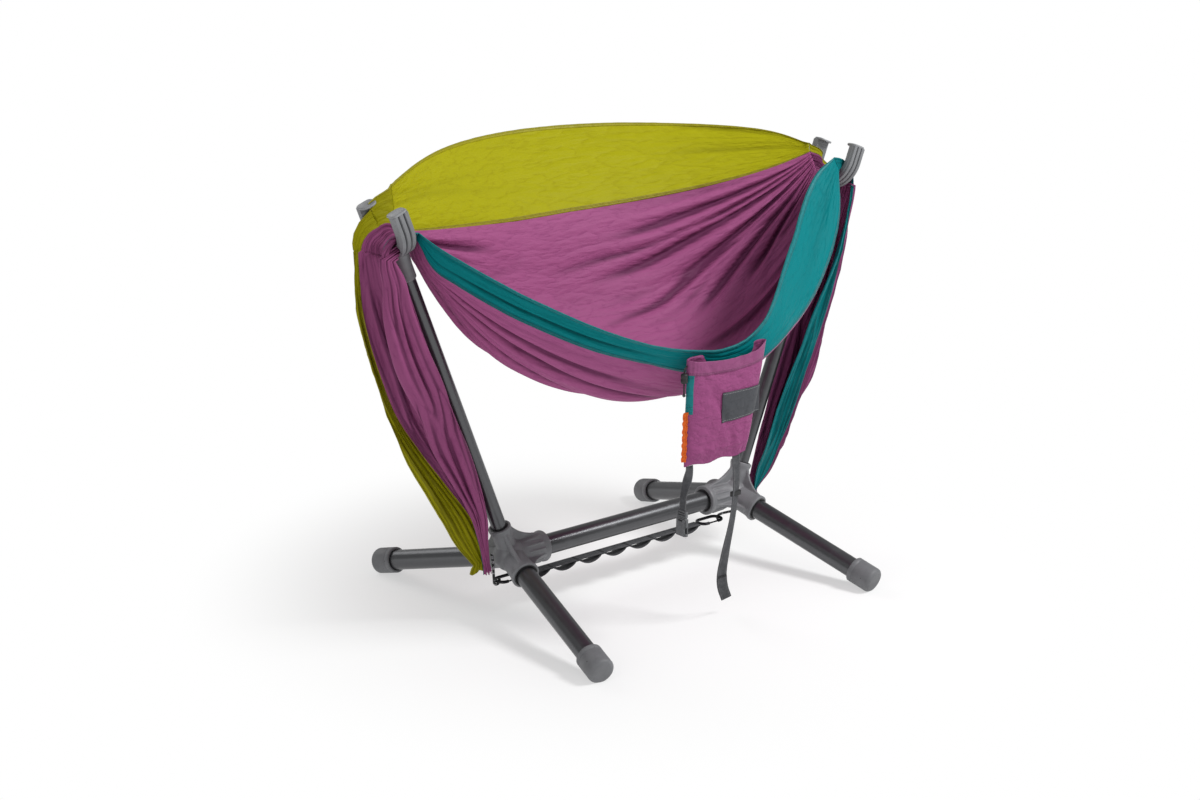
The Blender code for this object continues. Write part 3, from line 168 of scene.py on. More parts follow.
# Pouch
POUCH_TOP = 0.511988
POUCH_FRONT_Y = -0.28621
POUCH_TOP_WIDTH = 0.182
POUCH_BOTTOM_WIDTH = 0.146
POUCH_HEIGHT = 0.190
POUCH_DEPTH = 0.024
POUCH_CENTRE_X = -0.010
POUCH_BOTTOM_SHIFT = -0.022
POUCH_MIDDLE_Y = POUCH_FRONT_Y + POUCH_DEPTH / 2.0
POUCH_BOTTOM = POUCH_TOP - POUCH_HEIGHT
POUCH_SIDE_POINTS = 61
LABEL_HALF_WIDTH = 0.049
LABEL_HALF_HEIGHT = 0.026
LABEL_SHIFT = 0.026
LABEL_DROP = 0.093
LOCK_R = 0.0062
LOCK_GAP = 0.0016
LOCK_DROP = 0.030
LOCK_SECTION = (
    (0.0017, -0.0085), (0.0042, -0.0085), (0.0056, -0.0078), (0.0062, -0.0060),
    (0.0062, -0.0012), (0.0056, -0.0006), (0.0056, 0.0004), (0.0062, 0.0010),
    (0.0062, 0.0060), (0.0054, 0.0078), (0.0040, 0.0085), (0.0017, 0.0085),
)
DRAWCORD_R = 0.0014
KNOT_R = 0.0019
KNOT_DROP = 0.0300

# Straps under the pouch. A route is (right, back, down) from the pouch's lower edge.
TAPE_THICKNESS = 0.0016
TAPE_TOP = POUCH_BOTTOM - 0.0008
SHORT_STRAP_WIDTH = 0.016
SHORT_STRAP_INSET = 0.013
SHORT_STRAP_ROUTE = (
    (0.0, 0.0, 0.0), (0.0, 0.0, 0.009), (-0.003, 0.0, 0.022), (-0.012, 0.0, 0.050), (-0.014, 0.0, 0.078),
)
SHORT_STRAP_POINTS = 60
# The ladder's bars as (name, height, place)
LADDER_BARS = (("top", 0.0030, 0.0045), ("middle", 0.0026, 0.0), ("foot", 0.0030, -0.0045))
LADDER_BAR_DEPTH = 0.0048
LADDER_WIDTH = 0.0236
LADDER_CHEEK = (0.0062, 0.0030, 0.0120)
LADDER_CHEEK_Y = 0.0104
LADDER_FOLD = (0.0018, 0.0165, 0.0018)
LADDER_FOLD_Z = 0.0022
LADDER_DROP = 0.006
BUCKLE_DROP = 0.012
BUCKLE_SIZE = (0.0095, 0.026, 0.036)
# The buckle's hollows as (size, drop below its top, rounding)
BUCKLE_HOLLOWS = (
    ((0.0057, 0.0212, 0.0240), 0.0245, 0.0006),
    ((0.0057, 0.060, 0.0120), 0.02232, 0.0012),
    ((0.0200, 0.0110, 0.0030), 0.0052, 0.0006),
)
LONG_STRAP_WIDTH = 0.020
LONG_STRAP_SHIFT = 0.030
LONG_STRAP_ROUTE = (
    (0.0, 0.0, 0.0), (0.0, 0.0, 0.010), (0.004, 0.002, 0.060), (-0.001, 0.004, 0.120),
    (-0.010, 0.010, 0.185), (-0.008, 0.020, 0.230), (0.004, 0.030, 0.262), (0.022, 0.038, 0.292),
)
LONG_STRAP_POINTS = 150
LONG_STRAP_FOLD = slice(118, 149)
LONG_STRAP_TACK = slice(117, 120)
KEEPER_PLACE = (0.0035, 0.0026, 0.075)
# The keeper's outlines as (half width, half depth, corner)
KEEPER_OUTER = (0.0119, 0.0027, 0.0018)
KEEPER_INNER = (0.0107, 0.0015, 0.0010)
KEEPER_HALF = 0.004

SIDES = {"left": -1.0, "right": 1.0}
ENDS = {"front": -1.0, "back": 1.0}


# Camera, floor and light


def place_camera():
    turn, rise = CAMERA_TURN, CAMERA_HEIGHT_ANGLE
    back = Vector((math.sin(turn) * math.cos(rise), -math.cos(turn) * math.cos(rise), math.sin(rise)))
    right = (-back).cross(Vector((0.0, 0.0, 1.0))).normalized()
    up = right.cross(-back)
    right, up = (
        math.cos(CAMERA_ROLL) * right + math.sin(CAMERA_ROLL) * up,
        -math.sin(CAMERA_ROLL) * right + math.cos(CAMERA_ROLL) * up,
    )
    lens = bpy.data.cameras.new("photo_camera")
    lens.sensor_width = SENSOR_WIDTH
    lens.lens = SENSOR_WIDTH * FOCAL_PIXELS / PICTURE_WIDTH
    camera = new_object("photo_camera", lens)
    camera.matrix_world = Matrix((right, up, back)).transposed().to_4x4()
    camera.matrix_world.translation = CAMERA_TARGET + back * CAMERA_DISTANCE
    bpy.context.scene.camera = camera


def add_lamp(name, place, aim, width, power):
    lamp = bpy.data.lights.new(name, "AREA")
    lamp.shape = "DISK"
    lamp.size = width
    lamp.energy = power
    obj = new_object(name, lamp)
    obj.location = place
    obj.rotation_euler = (Vector(aim) - Vector(place)).to_track_quat("-Z", "Y").to_euler()


def light_studio():
    """Soft lamps and a pale world, which the camera sees as plain white."""
    for lamp in LAMPS:
        add_lamp(*lamp)
    world = bpy.data.worlds.new("studio")
    world.use_nodes = True
    bpy.context.scene.world = world
    w = Wiring(world.node_tree)
    plain, shown = world.node_tree.nodes["Background"], w.node("Background")
    for background, strength in ((plain, WORLD_LIGHT), (shown, 1.0)):
        background.inputs["Color"].default_value = (1.0, 1.0, 1.0, 1.0)
        background.inputs["Strength"].default_value = strength
    path = w.node("LightPath")
    seen = w.maths("MAXIMUM", path.outputs["Is Camera Ray"], path.outputs["Is Transmission Ray"])
    mixed = w.mix_shaders(seen, plain.outputs[0], shown.outputs[0])
    w.feed(world.node_tree.nodes["World Output"].inputs["Surface"], mixed)
    bpy.context.scene.view_settings.view_transform = "Standard"


def build_floor():
    """A round pale floor that turns plain white away from the stand."""
    points, faces = turned([(radius, 0.0) for radius in FLOOR_RINGS], FLOOR_SIDES, Matrix.Identity(4))
    floor = add_mesh("studio_floor", points, faces)
    material, paint, w = new_material("studio_floor_paint", (FLOOR_GREY, FLOOR_GREY, FLOOR_GREY), 0.9)
    paint.inputs["Specular IOR Level"].default_value = 0.0
    white = w.node("Emission")
    white.inputs["Strength"].default_value = 1.0
    away = w.node("VectorMath", operation="LENGTH")
    w.feed(away.inputs[0], w.node("TexCoord").outputs["Object"])
    fade = w.spread(away.outputs["Value"], FLOOR_FADE_FROM, FLOOR_FADE_TO, FLOOR_WHITE_SHARE, 1.0)
    mixed = w.mix_shaders(fade, paint.outputs[0], white.outputs[0])
    w.feed(material.node_tree.nodes["Material Output"].inputs["Surface"], mixed)
    floor.data.materials.append(material)


# Meshes


def new_object(name, data):
    obj = bpy.data.objects.new(name, data)
    bpy.context.scene.collection.objects.link(obj)
    return obj


def add_mesh(name, points, faces, flat=None, creases=None):
    """A smooth-shaded object. flat gives each point's place (u, v) on the cut cloth, in metres, and creases how
    much painted shade each point gets, most of it in creases, from 0 to 1."""
    mesh = bpy.data.meshes.new(name)
    mesh.from_pydata([tuple(map(float, p)) for p in points], [], faces)
    if flat is not None:
        layer = mesh.uv_layers.new(name="flat")
        corner = np.empty(len(mesh.loops), np.int32)
        mesh.loops.foreach_get("vertex_index", corner)
        layer.data.foreach_set("uv", np.asarray(flat, np.float32)[corner].ravel())
        if creases is not None:
            # A second layer carries the painted shade, which the cloth materials lay in as a darker colour.
            pairs = np.stack([creases, np.zeros(len(creases))], axis=1)
            second = mesh.uv_layers.new(name="creases")
            second.data.foreach_set("uv", pairs.astype(np.float32)[corner].ravel())
    mesh.shade_smooth()
    return new_object(name, mesh)


def add_solid(name, points, faces, flat=None):
    """A closed mesh, or a shell, with its faces turned outwards."""
    obj = add_mesh(name, points, faces, flat)
    face_outwards(obj)
    return obj


def ring_faces(rings, count, closed=False, around=True):
    """Faces between neighbouring rings of count points each. closed joins the last ring to the first."""
    faces = []
    for i in range(rings if closed else rings - 1):
        low, high = i * count, (i + 1) % rings * count
        for k in range(count if around else count - 1):
            nxt = (k + 1) % count
            faces.append((low + k, low + nxt, high + nxt, high + k))
    return faces


def end_faces(rings, count):
    """The flat faces that close the first and the last ring."""
    return [tuple(range(count)), tuple(range(rings * count - 1, (rings - 1) * count - 1, -1))]


def crisp(obj, angle):
    """Keeps the edges sharp where faces meet at more than this angle, in degrees."""
    obj.data.set_sharp_from_angle(angle=math.radians(angle))
    return obj


def dress(obj, material, body, slot, *nodes):
    """Gives a piece its material and its body, and hides the nodes that it stands for. slot is not used."""
    obj.data.materials.clear()
    obj.data.materials.append(material)
    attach(obj, body)
    if nodes:
        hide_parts(*nodes)
    return obj


def frame_at(origin, direction):
    """A frame with its Z along a direction."""
    z = Vector(direction).normalized()
    x = Vector((0.0, 1.0, 0.0)).cross(z).normalized()
    matrix = Matrix((x, z.cross(x), z)).transposed().to_4x4()
    matrix.translation = Vector(origin)
    return matrix


def turned(profile, sides, place, closed=False, squash=1.0):
    """Points and faces of (radius, height) pairs turned round local Z."""
    points, faces, rings = [], [], []
    for radius, height in profile:
        start = len(points)
        if radius <= 0.0:
            points.append(place @ Vector((0.0, 0.0, height)))
            rings.append([start] * sides)
            continue
        for k in range(sides):
            angle = 2.0 * math.pi * k / sides
            local = Vector((radius * squash * math.cos(angle), radius * math.sin(angle), height))
            points.append(place @ local)
        rings.append(list(range(start, start + sides)))
    pairs = list(zip(rings, rings[1:]))
    if closed:
        pairs.append((rings[-1], rings[0]))
    for low, high in pairs:
        for k in range(sides):
            nxt = (k + 1) % sides
            faces.append(without_repeats(low[k], low[nxt], high[nxt], high[k]))
    return points, faces


def without_repeats(*corners):
    return tuple(dict.fromkeys(corners))


def turned_piece(name, profile, sides, place, closed=False, squash=1.0, angle=35.0):
    return crisp(add_solid(name, *turned(profile, sides, place, closed, squash)), angle)


def face_outwards(obj):
    work = bmesh.new()
    work.from_mesh(obj.data)
    bmesh.ops.recalc_face_normals(work, faces=work.faces)
    work.to_mesh(obj.data)
    work.free()


def rounded(points, radius):
    """Rounds the inner corners of an open profile."""
    points = [np.array(p, float) for p in points]
    out = [tuple(points[0])]
    for before, corner, after in zip(points, points[1:], points[2:]):
        a, b = before - corner, after - corner
        cut_back = min(radius, np.linalg.norm(a) * 0.45, np.linalg.norm(b) * 0.45)
        start = corner + a / np.linalg.norm(a) * cut_back
        finish = corner + b / np.linalg.norm(b) * cut_back
        out += [tuple(bend_point(start, corner, finish, k / 4.0)) for k in range(5)]
    out.append(tuple(points[-1]))
    return out


def bend_point(start, corner, finish, u):
    """A point on the curve from start to finish that leans towards the corner."""
    return start * (1 - u) ** 2 + corner * 2 * u * (1 - u) + finish * u**2


SPAN_POINTS = 24


def spline(knots):
    """Closely spaced points on a smooth curve through the knots."""
    ends = np.vstack([2 * knots[0] - knots[1], knots, 2 * knots[-1] - knots[-2]])
    spans = [spline_span(ends[k : k + 4], SPAN_POINTS) for k in range(len(knots) - 1)]
    return np.vstack([*spans, knots[-1:]])


def smooth_path(knots, count):
    return spread_evenly(spline(np.asarray(knots, float)), count)


def spline_span(four, count):
    a, b, c, d = four
    u = np.linspace(0.0, 1.0, count, endpoint=False)[:, None]
    return 0.5 * (2 * b + (c - a) * u + (2 * a - 5 * b + 4 * c - d) * u**2 + (3 * b - a - 3 * c + d) * u**3)


def spread_evenly(points, count):
    return at_shares(points, np.linspace(0.0, 1.0, count))


def run_lengths(points):
    """How far along a polyline each of its points lies."""
    steps = np.linalg.norm(np.diff(points, axis=0), axis=1)
    return np.concatenate([[0.0], np.cumsum(steps)])


def at_shares(points, shares):
    """Points of a polyline at shares of its length."""
    along = run_lengths(points)
    wanted = np.asarray(shares) * along[-1]
    return np.stack([np.interp(wanted, along, points[:, i]) for i in range(points.shape[1])], axis=1)


def path_frames(path, closed=False):
    """A path with two directions square to it at each point, which don't twist along it."""
    path = np.asarray(path, float)
    if closed:
        tangent = np.roll(path, -1, axis=0) - np.roll(path, 1, axis=0)
    else:
        tangent = np.gradient(path, axis=0)
    tangent /= np.linalg.norm(tangent, axis=1)[:, None]
    side = np.empty_like(path)
    start = np.cross(tangent[0], (0.0, 1.0, 0.0))
    if np.linalg.norm(start) < 0.2:
        start = np.cross(tangent[0], (0.0, 0.0, 1.0))
    side[0] = start / np.linalg.norm(start)
    for k in range(1, len(path)):
        level = side[k - 1] - tangent[k] * (side[k - 1] @ tangent[k])
        side[k] = level / np.linalg.norm(level)
    return path, side, np.cross(tangent, side)


def rod(name, path, radius, sides=16, closed=False):
    """A round rod or cord along a path. radius is one number, or one for each point."""
    path, side, other = path_frames(path, closed)
    radii = np.broadcast_to(np.asarray(radius, float), (len(path),))
    turns = np.linspace(0.0, 2.0 * math.pi, sides, endpoint=False)
    circle = np.cos(turns)[None, :, None] * side[:, None] + np.sin(turns)[None, :, None] * other[:, None]
    points = (path[:, None] + circle * radii[:, None, None]).reshape(-1, 3)
    flat = np.stack(np.broadcast_arrays(run_lengths(path)[:, None], turns[None] / math.pi), axis=-1)
    flat[:, :, 1] = 1.0 - np.abs(flat[:, :, 1] - 1.0)
    faces = ring_faces(len(path), sides, closed)
    if not closed:
        faces += end_faces(len(path), sides)
    return crisp(add_solid(name, points, faces, flat.reshape(-1, 2)), 50.0)


def ribbon(name, path, width, thickness, wide=(0.0, 1.0, 0.0), columns=9):
    """Webbing along a path with rounded edges. Its flat place runs along the path and across the width."""
    path = np.asarray(path, float)
    wide = np.broadcast_to(np.asarray(wide, float), path.shape)
    tangent = np.gradient(path, axis=0)
    tangent /= np.linalg.norm(tangent, axis=1)[:, None]
    across = wide - tangent * np.sum(wide * tangent, axis=1)[:, None]
    across /= np.linalg.norm(across, axis=1)[:, None]
    up = np.cross(tangent, across)
    shares = np.linspace(-1.0, 1.0, columns)
    half = width / 2.0
    outline = []
    for face, row in ((-1.0, shares), (1.0, shares[::-1])):
        outline += [(half * s, face * thickness / 2.0 * (1.0 - 0.35 * abs(s) ** 8)) for s in row]
    points, flat = [], []
    for centre, side, out, run in zip(path, across, up, run_lengths(path)):
        for a, b in outline:
            points.append(centre + side * a + out * b)
            flat.append((run, a))
    count = len(outline)
    faces = ring_faces(len(path), count) + end_faces(len(path), count)
    return crisp(add_solid(name, points, faces, flat), 60.0)


def block(name, size, place, bevel, segments=3):
    """A small moulded block with rounded edges."""
    work = bmesh.new()
    bmesh.ops.create_cube(work, size=1.0)
    for vertex in work.verts:
        vertex.co = Vector(c * s for c, s in zip(vertex.co, size))
    bmesh.ops.bevel(work, geom=list(work.edges), offset=bevel, segments=segments, affect="EDGES")
    mesh = bpy.data.meshes.new(name)
    work.to_mesh(mesh)
    work.free()
    mesh.transform(place)
    mesh.shade_smooth()
    return crisp(new_object(name, mesh), 35.0)


def settle(obj):
    """Applies a piece's modifiers to its mesh."""
    bpy.context.view_layer.update()
    seen = obj.evaluated_get(bpy.context.evaluated_depsgraph_get())
    mesh = bpy.data.meshes.new_from_object(seen)
    old = obj.data
    obj.modifiers.clear()
    obj.data = mesh
    bpy.data.meshes.remove(old)
    mesh.name = obj.name
    return obj


def join(name, parts):
    """One object from several meshes, which are used up."""
    work = bmesh.new()
    for part in parts:
        work.from_mesh(part.data)
    mesh = bpy.data.meshes.new(name)
    work.to_mesh(mesh)
    work.free()
    for part in parts:
        bpy.data.objects.remove(part, do_unlink=True)
    mesh.shade_smooth()
    return new_object(name, mesh)


def cast(name, parts, voxel, passes):
    """Melts overlapping closed shapes into one moulding with soft fillets."""
    obj = join(name, parts)
    remesh = obj.modifiers.new("melt", "REMESH")
    remesh.mode = "VOXEL"
    remesh.voxel_size = voxel
    remesh.use_smooth_shade = True
    soften = obj.modifiers.new("soften", "SMOOTH")
    soften.factor = 0.5
    soften.iterations = passes
    return settle(obj)


def cut(obj, helper):
    """Takes the helper's shape out of a piece, and uses the helper up."""
    modifier = obj.modifiers.new("cut", "BOOLEAN")
    modifier.operation = "DIFFERENCE"
    modifier.solver = "EXACT"
    modifier.object = helper
    settle(obj)
    bpy.data.objects.remove(helper, do_unlink=True)
    return obj


def ease(value, start, end):
    """A smooth step from 0 at start to 1 at end."""
    u = np.clip((np.asarray(value, float) - start) / (end - start), 0.0, 1.0)
    return u * u * (3.0 - 2.0 * u)


def ripple(u, v, seed):
    """Smooth seeded noise from 0 to 1, one cell for each whole step of u and v."""
    table = np.random.RandomState(seed).rand(64, 64)
    u, v = np.broadcast_arrays(np.asarray(u, float), np.asarray(v, float))
    i, j = np.floor(u).astype(int), np.floor(v).astype(int)
    a, b = ease(u - i, 0.0, 1.0), ease(v - j, 0.0, 1.0)
    i0, j0, i1, j1 = i % 64, j % 64, (i + 1) % 64, (j + 1) % 64
    low = table[i0, j0] * (1 - a) + table[i1, j0] * a
    high = table[i0, j1] * (1 - a) + table[i1, j1] * a
    return low * (1 - b) + high * b


# Materials


def effect(name, inputs, outputs):
    """An empty shader group. inputs are (name, kind, value) and outputs are (name, kind)."""
    group = bpy.data.node_groups.new(name, "ShaderNodeTree")
    for label, kind, value in inputs:
        socket = group.interface.new_socket(label, in_out="INPUT", socket_type="NodeSocket" + kind)
        if value is not None:
            socket.default_value = value
    for label, kind in outputs:
        group.interface.new_socket(label, in_out="OUTPUT", socket_type="NodeSocket" + kind)
    return group, group.nodes.new("NodeGroupInput"), group.nodes.new("NodeGroupOutput")


class Wiring:
    """Short ways to add and link the nodes of one tree."""

    def __init__(self, tree):
        self.tree = tree

    def node(self, kind, **settings):
        node = self.tree.nodes.new("ShaderNode" + kind)
        for key, value in settings.items():
            setattr(node, key, value)
        return node

    def feed(self, socket, value):
        """Links an output to a socket, or sets the socket to a plain value or an (r, g, b) colour."""
        if isinstance(value, bpy.types.NodeSocket):
            self.tree.links.new(value, socket)
        elif value is not None:
            socket.default_value = (*value, 1.0) if socket.type == "RGBA" else value

    def layer(self, name):
        """The flat place on the cloth, or another pair of values that the mesh carries."""
        return self.node("UVMap", uv_map=name).outputs["UV"]

    def axes(self, vector):
        node = self.node("SeparateXYZ")
        self.feed(node.inputs[0], vector)
        return node.outputs

    def cells(self, vector, scale):
        """Scattered cells: the distance from each one's middle, and a random number for each."""
        node = self.node("TexVoronoi", feature="F1")
        self.feed(node.inputs["Vector"], vector)
        self.feed(node.inputs["Scale"], scale)
        chosen = self.node("SeparateColor")
        self.feed(chosen.inputs[0], node.outputs["Color"])
        return node.outputs["Distance"], chosen.outputs[0]

    def maths(self, operation, *values):
        node = self.node("Math", operation=operation)
        for socket, value in zip(node.inputs, values):
            self.feed(socket, value)
        return node.outputs[0]

    def spread(self, value, low, high, to_low=0.0, to_high=1.0):
        node = self.node("MapRange", interpolation_type="SMOOTHSTEP")
        for socket, item in zip(node.inputs, (value, low, high, to_low, to_high)):
            self.feed(socket, item)
        return node.outputs["Result"]

    def blend(self, share, first, second, mode="MIX"):
        node = self.node("Mix", data_type="RGBA", blend_type=mode)
        self.feed(node.inputs["Factor"], share)
        self.feed(node.inputs["A"], first)
        self.feed(node.inputs["B"], second)
        return node.outputs["Result"]

    def tint(self, base, mask, amount, colour):
        """Lays a colour over the base where the mask is, at most by this amount."""
        return self.blend(self.maths("MULTIPLY", mask, amount), base, colour)

    def grain(self, vector, scale, detail=3.0, roughness=0.55):
        node = self.node("TexNoise")
        self.feed(node.inputs["Vector"], vector)
        self.feed(node.inputs["Scale"], scale)
        node.inputs["Detail"].default_value = detail
        node.inputs["Roughness"].default_value = roughness
        return node.outputs["Fac"]

    def stretch(self, vector, scale):
        node = self.node("Mapping")
        self.feed(node.inputs["Vector"], vector)
        node.inputs["Scale"].default_value = scale
        return node.outputs["Vector"]

    def group(self, group, **values):
        node = self.node("Group", node_tree=group)
        for key, value in values.items():
            self.feed(node.inputs[key.replace("_", " ").capitalize()], value)
        return node.outputs

    def bump(self, height, strength, distance, normal=None):
        node = self.node("Bump")
        node.inputs["Strength"].default_value = strength
        node.inputs["Distance"].default_value = distance
        self.feed(node.inputs["Height"], height)
        self.feed(node.inputs["Normal"], normal)
        return node.outputs["Normal"]

    def mix_shaders(self, share, first, second):
        node = self.node("MixShader")
        for socket, value in zip(node.inputs, (share, first, second)):
            self.feed(socket, value)
        return node.outputs[0]

    def finish(self, shader, colour, roughness, normal):
        for name, value in (("Base Color", colour), ("Roughness", roughness), ("Normal", normal)):
            self.feed(shader.inputs[name], value)


def shaded(colour, share, lift=0.0):
    """A colour made darker or paler."""
    return tuple(min(1.0, c * share + lift) for c in colour)


def new_material(name, colour, roughness, metallic=0.0):
    material = bpy.data.materials.new(name)
    material.use_nodes = True
    shader = material.node_tree.nodes["Principled BSDF"]
    shader.inputs["Base Color"].default_value = (*colour, 1.0)
    shader.inputs["Roughness"].default_value = roughness
    shader.inputs["Metallic"].default_value = metallic
    return material, shader, Wiring(material.node_tree)


def make_weave():
    """Crossed threads, with a stronger thread every few of them."""
    group, given, result = effect(
        "crossed_threads",
        [
            ("Place", "Vector", None), ("Threads per metre", "Float", 1500.0),
            ("Grid per metre", "Float", 200.0),
        ],
        [("Height", "Float"), ("Shade", "Float")],
    )
    w = Wiring(group)
    place = w.axes(given.outputs["Place"])

    def wave(axis, rate):
        turn = w.maths("MULTIPLY", place[axis], w.maths("MULTIPLY", given.outputs[rate], 2.0 * math.pi))
        return w.maths("MULTIPLY_ADD", w.maths("SINE", turn), 0.5, 0.5)

    threads = w.maths("MAXIMUM", *(wave(axis, "Threads per metre") for axis in "XY"))
    grid = w.maths("MAXIMUM", *(w.spread(wave(axis, "Grid per metre"), 0.44, 0.5) for axis in "XY"))
    w.feed(result.inputs["Height"], w.maths("MULTIPLY_ADD", grid, 0.6, threads))
    w.feed(result.inputs["Shade"], grid)
    return group


def make_crinkle():
    """Soft crinkles that run along the cloth, with finer crushed marks."""
    group, given, result = effect(
        "cloth_crinkle",
        [("Place", "Vector", None), ("Size", "Float", 30.0), ("Lengthwise", "Float", 0.35)],
        [("Height", "Float"), ("Shade", "Float")],
    )
    w = Wiring(group)
    squeeze = w.node("CombineXYZ")
    w.feed(squeeze.inputs["X"], given.outputs["Lengthwise"])
    squeeze.inputs["Y"].default_value = 1.0
    squeeze.inputs["Z"].default_value = 1.0
    long = w.node("VectorMath", operation="MULTIPLY")
    w.feed(long.inputs[0], given.outputs["Place"])
    w.feed(long.inputs[1], squeeze.outputs[0])
    wide = w.grain(long.outputs[0], given.outputs["Size"], 2.5, 0.5)
    fine = w.grain(long.outputs[0], w.maths("MULTIPLY", given.outputs["Size"], 4.2), 3.0, 0.6)
    ridge = w.maths("ABSOLUTE", w.maths("MULTIPLY_ADD", wide, 2.0, -1.0))
    height = w.maths("MULTIPLY_ADD", fine, 0.35, ridge)
    w.feed(result.inputs["Height"], height)
    # Shade marks the crinkle's valleys, where the cloth and hem materials paint shade.
    w.feed(result.inputs["Shade"], w.spread(height, 0.03, 0.32))
    return group


def make_stitches():
    """Dashes on a line: Across is the distance from the line and Along the distance along it, in metres."""
    group, given, result = effect(
        "sewn_stitches",
        [
            ("Across", "Float", 0.0), ("Along", "Float", 0.0),
            ("Pitch", "Float", 0.004), ("Width", "Float", 0.0005),
        ],
        [("Mask", "Float"), ("Groove", "Float")],
    )
    w = Wiring(group)
    far = w.maths("ABSOLUTE", given.outputs["Across"])
    line = w.spread(far, w.maths("MULTIPLY", given.outputs["Width"], 0.6), given.outputs["Width"], 1.0, 0.0)
    step = w.maths("FRACT", w.maths("DIVIDE", given.outputs["Along"], given.outputs["Pitch"]))
    dash = w.spread(w.maths("ABSOLUTE", w.maths("SUBTRACT", step, 0.5)), 0.3, 0.38, 1.0, 0.0)
    w.feed(result.inputs["Mask"], w.maths("MULTIPLY", line, dash))
    w.feed(result.inputs["Groove"], w.spread(far, 0.0, w.maths("MULTIPLY", given.outputs["Width"], 3.0)))
    return group


def make_wear():
    """Paler rubbed edges, from the shape's own corners."""
    group, given, result = effect(
        "edge_wear",
        [("Place", "Vector", None), ("Start", "Float", 0.52), ("End", "Float", 0.60)],
        [("Mask", "Float")],
    )
    w = Wiring(group)
    shape = w.node("NewGeometry")
    edge = w.spread(shape.outputs["Pointiness"], given.outputs["Start"], given.outputs["End"])
    broken = w.spread(w.grain(given.outputs["Place"], 260.0, 4.0, 0.6), 0.42, 0.62)
    w.feed(result.inputs["Mask"], w.maths("MULTIPLY", edge, broken))
    return group


def make_pores():
    """A fine moulded grain, with slow mottling and a few dark pits."""
    group, given, result = effect(
        "moulded_grain",
        [("Place", "Vector", None), ("Size", "Float", 1400.0), ("Pit size", "Float", 120.0)],
        [("Height", "Float"), ("Mottle", "Float"), ("Pits", "Float")],
    )
    w = Wiring(group)
    fine = w.grain(given.outputs["Place"], given.outputs["Size"], 2.0, 0.6)
    slow = w.grain(given.outputs["Place"], 34.0, 4.0, 0.6)
    distance, chance = w.cells(given.outputs["Place"], given.outputs["Pit size"])
    dots = w.spread(distance, 0.10, 0.18, 1.0, 0.0)
    rare = w.maths("GREATER_THAN", chance, 0.86)
    w.feed(result.inputs["Height"], fine)
    w.feed(result.inputs["Mottle"], w.spread(slow, 0.3, 0.7))
    w.feed(result.inputs["Pits"], w.maths("MULTIPLY", dots, rare))
    return group


WEAVE = make_weave()
CRINKLE = make_crinkle()
STITCHES = make_stitches()
WEAR = make_wear()
PORES = make_pores()


def cloth_material(name, colour, shade_colour, size, lengthwise, fold, shade_creases=True):
    """Thin crinkled ripstop. Its darker colour is painted shade, laid into the crinkle's valleys by up to fold
    and, when asked, into the creases that the mesh carries.
    """
    material, shader, w = new_material(name, colour, 0.52)
    flat = w.layer("flat")
    weave = w.group(WEAVE, place=flat)
    crinkle = w.group(CRINKLE, place=flat, size=size, lengthwise=lengthwise)
    patches = w.spread(w.grain(flat, 7.0), 0.3, 0.7)
    light = shaded(colour, 1.14, 0.002)
    # Painted shade in the crinkle's valleys.
    base = w.blend(w.spread(crinkle["Shade"], 0.0, 1.0, 1.0 - fold, 1.0), shade_colour, colour)
    base = w.tint(base, patches, 0.20, light)
    base = w.tint(base, weave["Shade"], 0.10, light)
    # Painted shade from the mesh's creases layer, down to 0.35 of the darker colour.
    if shade_creases:
        base = w.tint(base, w.axes(w.layer("creases"))["X"], 0.75, shaded(shade_colour, 0.35))
    shader.inputs["Specular IOR Level"].default_value = 0.07
    soft = w.bump(crinkle["Height"], 0.8, 0.0045)
    roughness = w.spread(crinkle["Shade"], 0.0, 1.0, 0.65, 0.52)
    w.finish(shader, base, roughness, w.bump(weave["Height"], 0.20, 0.00012, soft))
    return material


def hem_material(name, colour, thread, rows, fold=0.6):
    """The same cloth doubled over and sewn, with rows of stitches at these distances across it."""
    material, shader, w = new_material(name, colour, 0.55)
    flat = w.layer("flat")
    place = w.axes(flat)
    crinkle = w.group(CRINKLE, place=flat, size=60.0, lengthwise=0.8)
    # Painted shade in the crinkle's valleys, down to fold of the colour.
    base = w.blend(crinkle["Shade"], shaded(colour, fold), colour)
    height = crinkle["Height"]
    for row in rows:
        sewn = w.group(STITCHES, across=w.maths("SUBTRACT", place["Y"], row), along=place["X"])
        base = w.tint(base, sewn["Mask"], 0.85, thread)
        height = w.maths("MULTIPLY_ADD", sewn["Groove"], 0.9, height)
    shader.inputs["Specular IOR Level"].default_value = 0.25
    w.finish(shader, base, w.spread(crinkle["Shade"], 0.0, 1.0, 0.65, 0.5), w.bump(height, 0.6, 0.0012))
    return material


def moulded_material(name, colour, roughness, pits, wear, size=1400.0):
    """Moulded plastic or rubber: mottled, paler where its edges rub, with painted shade in its hollows."""
    material, shader, w = new_material(name, colour, roughness)
    place = w.node("TexCoord").outputs["Object"]
    pores = w.group(PORES, place=place, size=size)
    rubbed = w.group(WEAR, place=place)
    base = w.blend(pores["Mottle"], shaded(colour, 0.82), colour)
    base = w.tint(base, rubbed["Mask"], wear, shaded(colour, 1.5, 0.02))
    # Painted shade: hollows, found from the pointiness, are darkened towards a quarter of the colour.
    hollow = w.spread(w.node("NewGeometry").outputs["Pointiness"], 0.40, 0.49, 0.75, 0.0)
    base = w.blend(hollow, base, shaded(colour, 0.25))
    if pits > 0.0:
        base = w.tint(base, pores["Pits"], pits, (0.02, 0.02, 0.02))
    uneven = w.spread(pores["Mottle"], 0.0, 1.0, roughness + 0.07, roughness - 0.05)
    w.finish(shader, base, uneven, w.bump(pores["Height"], 0.25, 0.0002))
    return material


